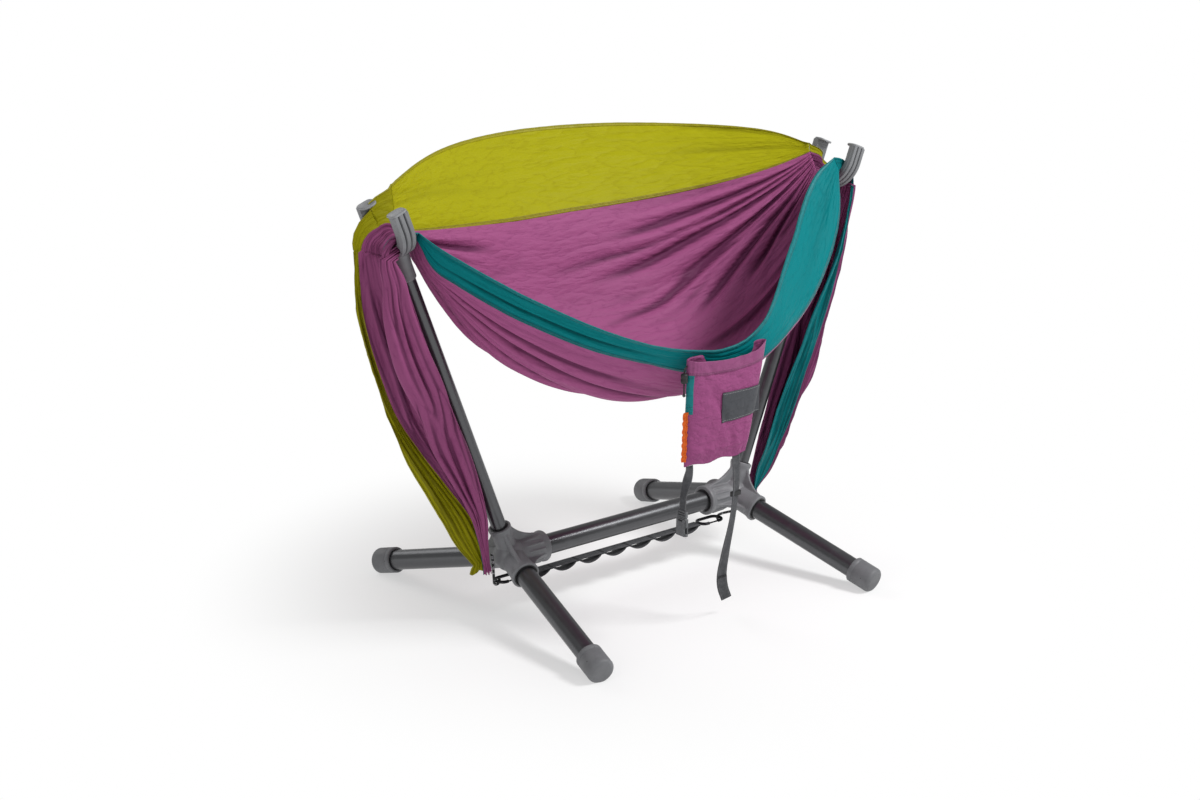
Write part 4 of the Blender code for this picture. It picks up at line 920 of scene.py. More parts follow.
def anodised_material(name, colour, roughness):
    """Satin anodised metal with faint rub marks."""
    material, shader, w = new_material(name, colour, roughness, 0.85)
    place = w.node("TexCoord").outputs["Object"]
    rubs = w.spread(w.grain(place, 22.0, 5.0, 0.65), 0.5, 0.75)
    base = w.blend(w.maths("MULTIPLY", rubs, 0.3), colour, shaded(colour, 1.35, 0.01))
    uneven = w.spread(rubs, 0.0, 1.0, roughness, roughness + 0.1)
    w.finish(shader, base, uneven, w.bump(w.grain(place, 900.0, 2.0), 0.05, 0.0001))
    return material


TAPE_THREAD = (0.16, 0.16, 0.165)


def webbing_material(name, colour, ribs_per_metre, rows=()):
    """Woven tape: ribs across it, herring-boned along it, rows of stitches along its length, and painted shade
    between its ribs.
    """
    material, shader, w = new_material(name, colour, 0.8)
    flat = w.layer("flat")
    place = w.axes(flat)
    along, across = place["X"], place["Y"]
    lean = w.maths("MULTIPLY_ADD", w.maths("ABSOLUTE", across), 0.8, along)
    ribs = w.maths("SINE", w.maths("MULTIPLY", lean, ribs_per_metre * 2.0 * math.pi))
    cords = w.maths("SINE", w.maths("MULTIPLY", across, 900.0 * 2.0 * math.pi))
    height = w.maths("MAXIMUM", ribs, cords)
    lint = w.spread(w.grain(flat, 90.0, 4.0, 0.7), 0.35, 0.75)
    # Painted shade: the low parts of the weave are darkened to 0.55 of the colour.
    base = w.blend(w.spread(height, -0.6, 1.0), shaded(colour, 0.55), colour)
    base = w.tint(base, lint, 0.4, shaded(colour, 1.6, 0.01))
    for row in rows:
        off_row = w.maths("SUBTRACT", across, row)
        sewn = w.group(STITCHES, across=off_row, along=along, pitch=0.003, width=0.0006)
        base = w.tint(base, sewn["Mask"], 0.8, TAPE_THREAD)
    w.finish(shader, base, w.spread(lint, 0.0, 1.0, 0.84, 0.7), w.bump(height, 0.5, 0.0003))
    return material


def braid_material(name, colour, fleck, flecks=0.3):
    """Braided cord: crossed strands wind round it, some strands are pale, and shade is painted between the
    strands.
    """
    material, shader, w = new_material(name, colour, 0.7)
    flat = w.layer("flat")
    place = w.axes(flat)
    along = w.maths("MULTIPLY", place["X"], 420.0 * math.pi)
    round_it = w.maths("MULTIPLY", place["Y"], 4.0 * math.pi)
    strands = [w.maths("SINE", w.maths(way, along, round_it)) for way in ("ADD", "SUBTRACT")]
    height = w.maths("MAXIMUM", *strands)
    _, chance = w.cells(w.stretch(flat, (1.0, 0.004, 1.0)), 330.0)
    base = w.blend(w.maths("GREATER_THAN", chance, 1.0 - flecks), colour, fleck)
    # Painted shade: the low parts between the strands are darkened to 0.35 of the colour.
    base = w.blend(1.0, base, w.spread(height, -0.2, 1.0, 0.35, 1.0), "MULTIPLY")
    w.finish(shader, base, w.spread(height, -0.2, 1.0, 0.8, 0.55), w.bump(height, 0.7, 0.0005))
    return material


PURPLE = (0.335, 0.085, 0.215)
# Painted shade for the purple cloth's creases.
PURPLE_SHADE = (0.190, 0.036, 0.125)
CHARTREUSE = (0.345, 0.330, 0.004)
TEAL = (0.000, 0.172, 0.187)
# Painted shade for the teal cloth's creases.
TEAL_SHADE = (0.000, 0.115, 0.130)

# The second colour of each cloth is the painted shade in its creases.
BACK_CLOTH = cloth_material("chartreuse_ripstop", CHARTREUSE, (0.235, 0.200, 0.003), 38.0, 0.32, 0.55)
CENTRE_CLOTH = cloth_material("purple_ripstop", PURPLE, PURPLE_SHADE, 40.0, 0.28, 0.50)
FRONT_CLOTH = cloth_material("teal_ripstop", TEAL, TEAL_SHADE, 38.0, 0.30, 0.50)
OLIVE_HEM = hem_material("olive_sewn_hem", (0.305, 0.280, 0.004), (0.12, 0.09, 0.01), (0.003, 0.013), 0.75)
TEAL_HEM = hem_material("teal_sewn_hem", (0.001, 0.170, 0.185), (0.003, 0.06, 0.07), (0.003, 0.013))
SEAM_TAPE = hem_material("felled_seam", (0.290, 0.250, 0.008), (0.12, 0.09, 0.01), (0.0015, 0.0045))
TEAL_SEAM = hem_material("teal_felled_seam", (0.001, 0.140, 0.155), (0.003, 0.05, 0.06), (0.002, 0.006))
ANODISED = anodised_material("anodised_tube", (0.105, 0.107, 0.112), 0.30)
MOULDING = moulded_material("grey_moulding", (0.190, 0.194, 0.204), 0.50, 0.0, 0.3)
# Painted light: the lips are the grey moulding made paler, for their faces that turn up to the lamps.
LIT_LIP_GREY = moulded_material("lit_lip_moulding", (0.250, 0.255, 0.265), 0.45, 0.0, 0.3)
RUBBER = moulded_material("grey_rubber", (0.160, 0.163, 0.172), 0.58, 0.9, 0.25, 900.0)
BLACK_RING = moulded_material("black_ring", (0.012, 0.012, 0.013), 0.55, 0.0, 0.15)
BUCKLE_GREY = moulded_material("buckle_moulding", (0.105, 0.108, 0.114), 0.42, 0.0, 0.4)
STRAP_GREY = webbing_material("grey_webbing", (0.062, 0.064, 0.070), 620.0, (-0.0075, 0.0075))
LOOP_GREY = webbing_material("loop_webbing", (0.050, 0.051, 0.056), 620.0, (-0.0078, 0.0078))
FLECKED_CORD = braid_material("flecked_braid", (0.012, 0.012, 0.014), (0.42, 0.42, 0.44))
BLACK_CORD = braid_material("black_braid", (0.014, 0.014, 0.015), (0.04, 0.04, 0.04), 0.2)
COATED = anodised_material("coated_carabiner", (0.022, 0.022, 0.025), 0.30)
POUCH_CLOTH = cloth_material("pouch_ripstop", (0.275, 0.067, 0.180), PURPLE_SHADE, 55.0, 0.6, 0.28, False)
POUCH_HEM = hem_material("pouch_hem_cloth", (0.255, 0.062, 0.168), (0.12, 0.03, 0.08), (0.0015, 0.0035), 0.8)
PLAIN_WEBBING = webbing_material("ladder_webbing", (0.055, 0.056, 0.062), 1200.0)
BAR_TACK = webbing_material("bar_tack_thread", (0.020, 0.020, 0.022), 1400.0)
LABEL_GREY = hem_material("label_weave", (0.055, 0.058, 0.066), (0.30, 0.30, 0.31), (0.0026, 0.0494), 0.8)
ORANGE = hem_material("orange_binding", (0.780, 0.130, 0.008), (0.45, 0.07, 0.004), (0.0022,), 0.75)


# Stand


def hub_centre(side):
    """Where a hub's four sockets meet."""
    return Vector((side * HUB_SPACING / 2.0, 0.0, HUB_HEIGHT))


def mast_direction(side):
    return Vector((side * math.sin(MAST_LEAN), 0.0, math.cos(MAST_LEAN)))


def foot_vector(side, end):
    return Vector((side * FOOT_RUN_X, end * FOOT_RUN_Y, -FOOT_FALL))


def mast_x(height):
    """How far out the mast's middle line is at a height."""
    return HUB_SPACING / 2.0 + (height - HUB_HEIGHT) * math.tan(MAST_LEAN)


def cradle_frame(side):
    centre = Vector((side * mast_x(CRADLE_HEIGHT), 0.0, CRADLE_HEIGHT))
    return frame_at(centre, mast_direction(side))


def saddle_edge(inboard):
    """The lowest point of the saddle's inner edge (1) or outer edge (-1), as (distance out, height)."""
    across = CRADLE_THICKNESS / 2.0 * inboard
    out = mast_x(CRADLE_HEIGHT) - across * math.cos(MAST_LEAN) - CRADLE_INNER_R * math.sin(MAST_LEAN)
    height = CRADLE_HEIGHT + across * math.sin(MAST_LEAN) - CRADLE_INNER_R * math.cos(MAST_LEAN)
    return out, height


def socket_list(side):
    """Each socket of a hub: its name, direction, tube radius, length and wall."""
    sockets = [
        ("spreader", Vector((-side, 0.0, 0.0)), BASE_TUBE_R, *SPREADER_SOCKET),
        ("mast", mast_direction(side), MAST_TUBE_R, *MAST_SOCKET),
    ]
    for end_name, end in ENDS.items():
        sockets.append((end_name, foot_vector(side, end).normalized(), BASE_TUBE_R, *FOOT_SOCKET))
    return sockets


def tube(name, start, direction, length, radius, wall, body):
    """A hollow drawn tube with its outer edges broken."""
    edge = 0.0004
    profile = [(radius - edge, 0.0), (radius, edge), (radius, length - edge), (radius - edge, length)]
    profile += [(radius - wall, length), (radius - wall, 0.0)]
    obj = turned_piece(name + "_drawn", profile, ROUND_SIDES, frame_at(start, direction), closed=True)
    return dress(obj, ANODISED, body, "tube", name)


def build_tubes():
    """The spreader, the two masts and the four feet with their caps, each from its socket's stop outwards."""
    start = hub_centre(-1.0) + Vector((TUBE_STOP, 0.0, 0.0))
    length = HUB_SPACING - 2.0 * TUBE_STOP
    tube("spreader_tube", start, (1.0, 0.0, 0.0), length, BASE_TUBE_R, BASE_TUBE_WALL, "stand_base")
    to_cradle = (CRADLE_HEIGHT - HUB_HEIGHT) / math.cos(MAST_LEAN)
    mast_top = to_cradle - CRADLE_INNER_R - CRADLE_BAND - NECK_LENGTH + MAST_INSERT
    for side_name, side in SIDES.items():
        way = mast_direction(side)
        start = hub_centre(side) + way * TUBE_STOP
        name = "mast_tube_" + side_name
        tube(name, start, way, mast_top - TUBE_STOP, MAST_TUBE_R, MAST_TUBE_WALL, "mast_" + side_name)
        for end_name, end in ENDS.items():
            vector = foot_vector(side, end)
            way = vector.normalized()
            mouth = vector.length - CAP_LENGTH / 2.0
            label = side_name + "_" + end_name
            length = mouth + CAP_DEPTH - SEAT_GAP - TUBE_STOP
            start = hub_centre(side) + way * TUBE_STOP
            tube("foot_tube_" + label, start, way, length, BASE_TUBE_R, BASE_TUBE_WALL, "foot_" + label)
            build_cap(label, hub_centre(side) + way * mouth, way)


def build_cap(label, mouth, way):
    """A rubber cap with a rolled mouth, a shallow groove, a domed end and a flat where it stands."""
    bore = BASE_TUBE_R + SEAT_GAP
    edge, groove_r = 0.0012, CAP_R - 0.0006
    outer = [(bore, edge), (bore + edge, 0.0), (CAP_R - edge, 0.0), (CAP_R, 0.0014)]
    outer += [(CAP_R, 0.0085), (groove_r, 0.0092), (groove_r, 0.0104), (CAP_R, 0.0112)]
    for k in range(13):
        angle = math.pi / 2.0 * k / 12
        radius = CAP_R - CAP_ROUNDING * (1.0 - math.cos(angle))
        outer.append((radius, CAP_LENGTH - CAP_ROUNDING * (1.0 - math.sin(angle))))
    outer += [(0.010, CAP_LENGTH + 0.0004), (0.0, CAP_LENGTH + 0.0006)]
    profile = [(0.0, CAP_DEPTH), (bore, CAP_DEPTH)] + outer
    name = "foot_cap_" + label
    cap = turned_piece(name + "_rubber", profile, ROUND_SIDES, frame_at(mouth, way), angle=50.0)
    for vertex in cap.data.vertices:
        vertex.co.z = max(vertex.co.z, 0.0)
    dress(cap, RUBBER, "foot_" + label, "rubber", name)


def socket_shape(radius, length, wall):
    """A flared socket, with a swelling rim round its mouth."""
    mouth = radius + BUSH_WALL + wall
    root = max(radius + SEAT_GAP + 0.0035, mouth - 0.004)
    corners = [(root, SOCKET_ROOT), (mouth - 0.0027, length - 0.016), (mouth - 0.0022, length - 0.012)]
    corners += [(mouth, length - SOCKET_RIM), (mouth, length - 0.0004), (mouth - 0.0020, length)]
    corners.append((0.0, length))
    return [(0.0, SOCKET_ROOT)] + rounded(corners, 0.003)


def web(centre, first, second):
    """A plate between two sockets, with a hollow curved edge."""
    _, way_a, radius_a, length_a, wall_a = first
    _, way_b, radius_b, length_b, wall_b = second
    out_a = (way_b - way_a * way_a.dot(way_b)).normalized()
    out_b = (way_a - way_b * way_b.dot(way_a)).normalized()
    start = way_a * (length_a - SOCKET_RIM) + out_a * (radius_a + BUSH_WALL + wall_a - WEB_BITE)
    finish = way_b * (length_b - SOCKET_RIM) + out_b * (radius_b + BUSH_WALL + wall_b - WEB_BITE)
    hollow = (way_a + way_b).normalized() * WEB_HOLLOW
    outline = [way_a * WEB_ROOT]
    outline += [bend_point(start, hollow, finish, k / 16.0) for k in range(17)]
    outline.append(way_b * WEB_ROOT)
    normal = way_a.cross(way_b).normalized() * WEB_THICKNESS / 2.0
    points = [centre + p - normal for p in outline] + [centre + p + normal for p in outline]
    count = len(outline)
    return add_solid("web", points, end_faces(2, count) + ring_faces(2, count))


def flutes(centre, side):
    """Soft ribs along the spreader socket."""
    reach = BASE_TUBE_R + BUSH_WALL + SPREADER_SOCKET[1] - 0.0037
    ribs = []
    for k in range(FLUTE_COUNT):
        angle = 2.0 * math.pi * (k + 0.5) / FLUTE_COUNT
        out = Vector((0.0, math.cos(angle), math.sin(angle)))
        path = [centre + Vector((-side * x, 0.0, 0.0)) + out * (reach + lift) for x, lift in FLUTE_LINE]
        ribs.append(rod("flute", smooth_path(path, 8), FLUTE_R, 8))
    return ribs


def build_hubs():
    """Each hub is cast from a ball, four sockets, the webs between them and the flutes, and is then bored."""
    for side_name, side in SIDES.items():
        centre = hub_centre(side)
        sockets = socket_list(side)
        turns = [math.pi * k / 24 for k in range(1, 24)]
        ball = [(CORE_R * math.sin(turn), -CORE_R * math.cos(turn)) for turn in turns]
        ball = [(0.0, -CORE_R), *ball, (0.0, CORE_R)]
        parts = [turned_piece("core", ball, 48, Matrix.Translation(centre))]
        for _, way, radius, length, wall in sockets:
            shape = socket_shape(radius, length, wall)
            parts.append(turned_piece("socket", shape, 72, frame_at(centre, way)))
        for first, second in ((0, 1), (1, 2), (1, 3), (0, 2), (0, 3)):
            parts.append(web(centre, sockets[first], sockets[second]))
        parts += flutes(centre, side)
        hub = cast("hub_%s_moulding" % side_name, parts, HUB_GRAIN, 5)
        for label, way, radius, length, _ in sockets:
            bore, step = radius + SEAT_GAP, length - BUSH_LENGTH - SEAT_GAP
            wide, beyond = radius + BUSH_WALL + SEAT_GAP, length + CUT_BEYOND
            profile = [(0.0, TUBE_STOP - SEAT_GAP), (bore, TUBE_STOP - SEAT_GAP), (bore, step), (wide, step)]
            profile += [(wide, beyond), (0.0, beyond)]
            cut(hub, turned_piece("bore", profile, ROUND_SIDES, frame_at(centre, way)))
            build_bush(side_name, label, centre, way, radius, length)
        hub.data.shade_smooth()
        crisp(hub, 42.0)
        dress(hub, MOULDING, "stand_base", "moulding", "hub_" + side_name)


def build_bush(side_name, label, centre, way, radius, length):
    """The black ring in a socket's mouth, with a small bead over the socket's edge."""
    inner, outer, bead = radius + SEAT_GAP, radius + BUSH_WALL, 0.0006
    base, top = length - BUSH_LENGTH, length + BUSH_PROUD
    profile = [(outer, base), (outer, length + 0.0002), (outer + bead, length + 0.0004)]
    profile += [(outer + bead, top - 0.0003), (outer, top), (inner + bead, top), (inner, top - bead)]
    profile.append((inner, base))
    name = "socket_bush_%s_%s" % (side_name, label)
    ring = turned_piece(name + "_ring", profile, ROUND_SIDES, frame_at(centre, way), closed=True, angle=60.0)
    dress(ring, BLACK_RING, "stand_base", "bush", name)


def cradle_outline():
    """The band's section as (across, outward): four rounded ribs with three grooves between them."""
    half, count = CRADLE_THICKNESS / 2.0, 72
    outline = [(-half, 0.0)]
    for k in range(count + 1):
        a = -half + CRADLE_THICKNESS * k / count
        groove = math.exp(-((((a / CRADLE_THICKNESS * 3.0) % 1.0) - 0.5) / 0.13) ** 4)
        edge = 1.0 - max(0.0, abs(a) / half - 0.88) / 0.12 * 0.35
        outline.append((a, CRADLE_BAND - CRADLE_GROOVE * groove - CRADLE_EDGE * (1.0 - edge)))
    outline.append((half, 0.0))
    return outline


def build_cradle(side_name, side):
    """A ribbed fork on the mast's head: one band up both horns and round the saddle, a neck and two lips."""
    place = cradle_frame(side)
    outline = cradle_outline()
    steps = [(CRADLE_INNER_R, z, 1.0, 0.0) for z in np.linspace(HORN_RISE, 0.0, 8)[:-1]]
    for angle in np.linspace(0.0, math.pi, 45):
        way = (math.cos(angle), -math.sin(angle))
        steps.append((CRADLE_INNER_R * way[0], CRADLE_INNER_R * way[1], *way))
    steps += [(-CRADLE_INNER_R, z, -1.0, 0.0) for z in np.linspace(0.0, HORN_RISE, 8)[1:]]
    points = [place @ Vector((a, y + wy * r, z + wz * r)) for y, z, wy, wz in steps for a, r in outline]
    rings, count = len(steps), len(outline)
    band = add_solid("band", points, end_faces(rings, count) + ring_faces(rings, count))
    bottom = -CRADLE_INNER_R - CRADLE_BAND - NECK_LENGTH
    top = bottom + NECK_LENGTH + 0.006
    sleeve_r = MAST_TUBE_R + SEAT_GAP + NECK_WALL
    neck = [(0.0, top), (NECK_TOP_HALF, top), (NECK_TOP_HALF - 0.001, top - NECK_TAPER)]
    neck += [(sleeve_r + 0.001, bottom + NECK_TAPER), (sleeve_r, bottom), (0.0, bottom)]
    insert = bottom + MAST_INSERT
    sleeve = [(0.0, insert + 0.004), (sleeve_r, insert), (sleeve_r, bottom), (0.0, bottom)]
    parts = [band, turned_piece("neck", neck, 48, place, squash=NECK_SQUASH)]
    parts.append(turned_piece("sleeve", rounded(sleeve, 0.001), 48, place))
    cradle = cast("cradle_%s_moulding" % side_name, parts, CRADLE_GRAIN, 2)
    bore_r, stop, beyond = MAST_TUBE_R + SEAT_GAP, insert + SEAT_GAP, bottom - CUT_BEYOND
    profile = [(0.0, stop), (bore_r, stop), (bore_r, beyond), (0.0, beyond)]
    cut(cradle, turned_piece("bore", profile, ROUND_SIDES, place))
    cradle.data.shade_smooth()
    crisp(cradle, 45.0)
    dress(cradle, MOULDING, "mast_" + side_name, "moulding", "cradle_" + side_name)
    for end_name, end in ENDS.items():
        build_lip(side_name, end_name, end, place)


def build_lip(side_name, end_name, end, place):
    """A smooth shield-shaped lip on a horn, which hooks inwards over the cloth."""
    reach = LIP_REACH + CRADLE_BAND
    half = CRADLE_THICKNESS / 2.0
    outline = []
    for k in range(40):
        angle = 2.0 * math.pi * k / 40
        c, s = math.cos(angle), math.sin(angle)
        x = half * math.copysign(abs(c) ** 0.45, c)
        y = reach / 2.0 * math.copysign(abs(s) ** 0.6, s)
        if s * end < 0.0:
            x *= 1.0 - 0.28 * abs(s) ** 2
        outline.append((x, y))
    middle = end * (CRADLE_INNER_R - LIP_REACH + reach / 2.0)
    base = HORN_RISE - 0.0008
    points = []
    for height, share in LIP_LAYERS:
        for x, y in outline:
            droop = 0.0012 * max(0.0, -y * end / reach * 2.0) ** 2
            points.append(place @ Vector((x * share, middle + y * share, base + height - droop)))
    rings, count = len(LIP_LAYERS), len(outline)
    name = "cradle_%s_lip_%s" % (side_name, end_name)
    lip = add_solid(name, points, end_faces(rings, count) + ring_faces(rings, count))
    dress(crisp(lip, 60.0), LIT_LIP_GREY, "mast_" + side_name, "moulding")


# Tension line under the spreader


def build_ropes():
    """A flecked cord from each gathered end down to the carabiner, with its wraps."""
    beside_cloth = GATHER_R + CLOTH_SKIN + ROPE_R + ROPE_CLEARANCE
    wrap_r = CARABINER_R + ROPE_R + 2.0 * SEAT_GAP
    for side_name, side in SIDES.items():
        gather_x = mast_x(GATHER_HEIGHT) + GATHER_OUT - beside_cloth
        centre = CARABINERS["right"] if side > 0 else -CARABINERS["left"]
        rod_x = centre + CARABINER_LENGTH / 2.0 - CARABINER_R
        knots = [(gather_x + 0.0025, GATHER_HEIGHT + 0.011), (gather_x, GATHER_HEIGHT)]
        if gather_x - rod_x < 4.0 * wrap_r:
            first_turn, way = 0.0, -1.0
            knots.append((rod_x + wrap_r + 0.001, STRAP_HEIGHT + 0.014))
        else:
            first_turn, way = 90.0, 1.0
            knots += [(gather_x - 0.008, STRAP_HEIGHT + 0.018), (gather_x - 0.026, STRAP_HEIGHT + 0.006)]
            knots.append((rod_x + 0.010, STRAP_HEIGHT + wrap_r + 0.0002))
        path = [tuple(point) for point in smooth_path(knots, ROPE_STEPS)]
        for k in range(1, ROPE_STEPS):
            turn = math.radians(first_turn + way * WRAP_TURN * k)
            path.append((rod_x + wrap_r * math.cos(turn), STRAP_HEIGHT + wrap_r * math.sin(turn)))
        path = spread_evenly(np.array(path), 60)
        rope = rod("end_rope_%s_braid" % side_name, [(side * x, 0.0, z) for x, z in path], ROPE_R, 14)
        dress(rope, FLECKED_CORD, "stand_base", "rope", "end_rope_" + side_name)


def build_carabiners():
    """An oval of round rod, open along one side where its gate sits."""
    radius = CARABINER_WIDTH / 2.0 - CARABINER_R
    end = (CARABINER_LENGTH - CARABINER_WIDTH) / 2.0
    quarter = math.pi / 2.0
    right_turn = np.linspace(-quarter, quarter, 25)[1:]
    left_turn = np.linspace(quarter, 3 * quarter, 25)[1:]
    for side_name, centre in CARABINERS.items():
        path = [(GATE_SPAN / 2.0, -radius), (end, -radius)]
        path += [(end + radius * math.cos(a), radius * math.sin(a)) for a in right_turn]
        path += [(x, radius) for x in np.linspace(end, -end, 9)[1:]]
        path += [(-end + radius * math.cos(a), radius * math.sin(a)) for a in left_turn]
        path += [(-GATE_SPAN / 2.0, -radius)]
        ring = [(centre + x, y, STRAP_HEIGHT) for x, y in path]
        body = rod("carabiner_%s_forged" % side_name, ring, CARABINER_R, 18)
        dress(body, COATED, "stand_base", "carabiner", "carabiner_" + side_name)
        start, finish = centre - GATE_SPAN / 2.0 + 0.0009, centre + GATE_SPAN / 2.0 - SEAT_GAP
        line = [(x, -radius, STRAP_HEIGHT) for x in np.linspace(start, finish, len(GATE_RADII))]
        gate = rod("carabiner_gate_%s_pin" % side_name, line, GATE_RADII)
        dress(gate, COATED, "gate_" + side_name, "carabiner", "carabiner_gate_" + side_name)


def build_strap():
    """The band between the carabiners, with a row of sewn loops under it and a bar tack at each."""
    start = CARABINERS["left"] + CARABINER_LENGTH / 2.0 + SEAT_GAP
    finish = CARABINERS["right"] - CARABINER_LENGTH / 2.0 - SEAT_GAP
    band = [(x, 0.0, STRAP_HEIGHT) for x in np.linspace(start, finish, 60)]
    strap = ribbon("strap_band_tape", band, STRAP_WIDTH, STRAP_THICKNESS)
    dress(strap, STRAP_GREY, "stand_base", "webbing", "strap_band")
    pitch = (finish - start) / LOOP_COUNT
    top = STRAP_HEIGHT - STRAP_THICKNESS - SEAT_GAP
    for k in range(LOOP_COUNT):
        left, right = start + k * pitch + SEAT_GAP, start + (k + 1) * pitch - SEAT_GAP
        span = right - left - LOOP_TACK
        path = [(left, 0.0, top), (left + LOOP_TACK * 0.3, 0.0, top)]
        for u in np.linspace(0.0, 1.0, 15):
            sag = LOOP_DEPTH * math.sin(math.pi * u) ** 0.7
            path.append((left + LOOP_TACK / 2.0 + span * u, 0.0, top - sag))
        path += [(right - LOOP_TACK * 0.3, 0.0, top), (right, 0.0, top)]
        path = spread_evenly(np.array(path), 40)
        loop = ribbon("strap_loop_%d_tape" % (k + 1), path, STRAP_WIDTH, STRAP_THICKNESS)
        dress(loop, LOOP_GREY, "stand_base", "webbing", "strap_loop_%d" % (k + 1))
        tack_x = left - SEAT_GAP
        above = STRAP_HEIGHT + STRAP_THICKNESS / 2.0 + 0.0003
        line = [(tack_x + dx, 0.0, above) for dx in (-TACK_HALF, 0.0, TACK_HALF)]
        tack = ribbon("strap_tack_%d" % (k + 1), line, STRAP_WIDTH * 0.8, 0.0005)
        dress(tack, BAR_TACK, "stand_base", "webbing")


# Hammock cloth. A cross-section is a curve through seven guide points: the back hem, the back seam, the back
# belly, the keel, the front belly, the front seam and the front hem. A panel runs between two of them.

PANEL_GUIDES = ((0, 1), (1, 5), (5, 6))
PANEL_LABELS = ("back_panel", "centre_panel", "front_panel")
PANEL_SLOTS = ("back_cloth", "centre_cloth", "front_cloth")
PANEL_CLOTHS = (BACK_CLOTH, CENTRE_CLOTH, FRONT_CLOTH)
GIRTH_SHARES = (0.0, 0.17, 0.86, 1.0)
INSIDE_GIRTH = 0.52


def seat_end_x():
    """Where the seat ends and a drop begins, as a distance out."""
    return saddle_edge(1.0)[0] - SEAT_END_INSET


def keel_end_height():
    return saddle_edge(1.0)[1] + SADDLE_LIFT


def between_with_bulge(first, second, bulge):
    """The middle of two guide points, pushed out of the straight line between them."""
    (ay, az), (by, bz) = first, second
    dy, dz = by - ay, bz - az
    length = math.hypot(dy, dz)
    return ((ay + by) / 2.0 - bulge * dz / length, (az + bz) / 2.0 + bulge * dy / length)


# The front edge as (across, height above the keel's ends) in millimetres, at places from the left cradle (-1)
# to the right one (1)
FRONT_HEM = {
    -1.00: (-33, 15), -0.96: (-56, -6), -0.90: (-85, -30), -0.80: (-127, -66), -0.70: (-162, -98),
    -0.50: (-216, -152), -0.30: (-251, -189), -0.10: (-268, -208), 0.00: (-271, -209), 0.10: (-268, -199),
    0.20: (-258, -174), 0.30: (-232, -141), 0.40: (-198, -116), 0.50: (-163, -92), 0.60: (-129, -69),
    0.70: (-93, -42), 0.80: (-62, -12), 0.90: (-40, 16), 1.00: (-35, 38),
}

FRONT_SEAM = {
    -1.00: (-24, 6), -0.96: (-47, -44), -0.90: (-71, -70), -0.80: (-108, -106), -0.70: (-140, -137),
    -0.50: (-192, -188), -0.30: (-227, -223), -0.10: (-246, -252), 0.00: (-250, -258), 0.10: (-252, -256),
    0.20: (-260, -242), 0.30: (-255, -220), 0.40: (-235, -205), 0.50: (-214, -186), 0.60: (-191, -162),
    0.70: (-165, -132), 0.80: (-136, -96), 0.90: (-100, -50), 1.00: (-48, 12),
}



def in_metres(table):
    return {place: np.array(values) / 1000.0 for place, values in table.items()}


def dense_rows(keys):
    """Closely spaced rows on a smooth line through the keys. The first column is the key's place."""
    return spline(np.array([[place, *np.ravel(values)] for place, values in keys.items()]))


def read_rows(rows, place):
    """What the rows hold at a place, read between the nearest two of them."""
    return np.array([np.interp(place, rows[:, 0], column) for column in rows.T[1:]])


FRONT_HEM_ROWS = dense_rows(in_metres(FRONT_HEM))
FRONT_SEAM_ROWS = dense_rows(in_metres(FRONT_SEAM))


def seat_guides(s):
    """Guide points (y, z) of the seat at s, from -1 at the left cradle to +1 at the right one."""
    wide = max(0.0, 1.0 - s * s)
    base = keel_end_height()
    near_left, near_right = max(0.0, -s) ** 12, max(0.0, s) ** 6
    end_back, end_rise = 0.034 + 0.010 * near_left, 0.045 + 0.040 * near_left + 0.012 * near_right
    rise = BACK_HEM_RISE * wide**0.36 * (1.0 - math.exp(-wide / 0.08))
    hem_back = (end_back + BACK_HEM_SPREAD * wide ** (0.92 if s < 0.0 else 0.78), base + end_rise + rise)
    seam_end = base + 0.017 + 0.010 * min(0.0, s) + 0.024 * near_right
    seam_back = (0.030 + BACK_SEAM_SPREAD * wide, seam_end - BACK_SEAM_FALL * wide)
    left_dip = 0.014 * math.exp(-(((s + 0.72) / 0.18) ** 2))
    middle_lift = 0.020 * math.exp(-(((s - 0.08) / 0.25) ** 2))
    sag = KEEL_SAG * wide**0.78 + left_dip - middle_lift
    keel = (-KEEL_FORWARD * wide, base - sag * min(1.0, wide / 0.02))
    front_seam = read_rows(FRONT_SEAM_ROWS, s) + (0.0, base)
    hem_front = read_rows(FRONT_HEM_ROWS, s) + (0.0, base)
    back_belly = between_with_bulge(seam_back, keel, END_BULGE + BACK_BELLY * wide)
    front_belly = between_with_bulge(keel, front_seam, END_BULGE + FRONT_BELLY * wide)
    return np.array([hem_back, seam_back, back_belly, keel, front_belly, front_seam, hem_front])


def section(guides, shares):
    """A whole section at shares of each of its three panels. Neighbours share their seam's point."""
    line = spline(guides)
    pieces = []
    for (first, last), wanted in zip(PANEL_GUIDES, shares):
        pieces.append(at_shares(line[SPAN_POINTS * first : SPAN_POINTS * last + 1], wanted))
    return np.vstack([pieces[0], pieces[1][1:], pieces[2][1:]])


def girth_places(shares):
    """Each column's place round the whole section, from 0 at the back hem to 1 at the front hem."""
    spots = []
    for k, wanted in enumerate(shares):
        low, high = GIRTH_SHARES[k], GIRTH_SHARES[k + 1]
        spots.append(low + (high - low) * np.asarray(wanted))
    return np.concatenate([spots[0], spots[1][1:], spots[2][1:]])


def lobes(u, v, seed, power=0.75):
    """Rounded lobes from -1 to 1 with sharp creases between them."""
    return 2.0 * np.abs(2.0 * ripple(u, v, seed) - 1.0) ** power - 1.0


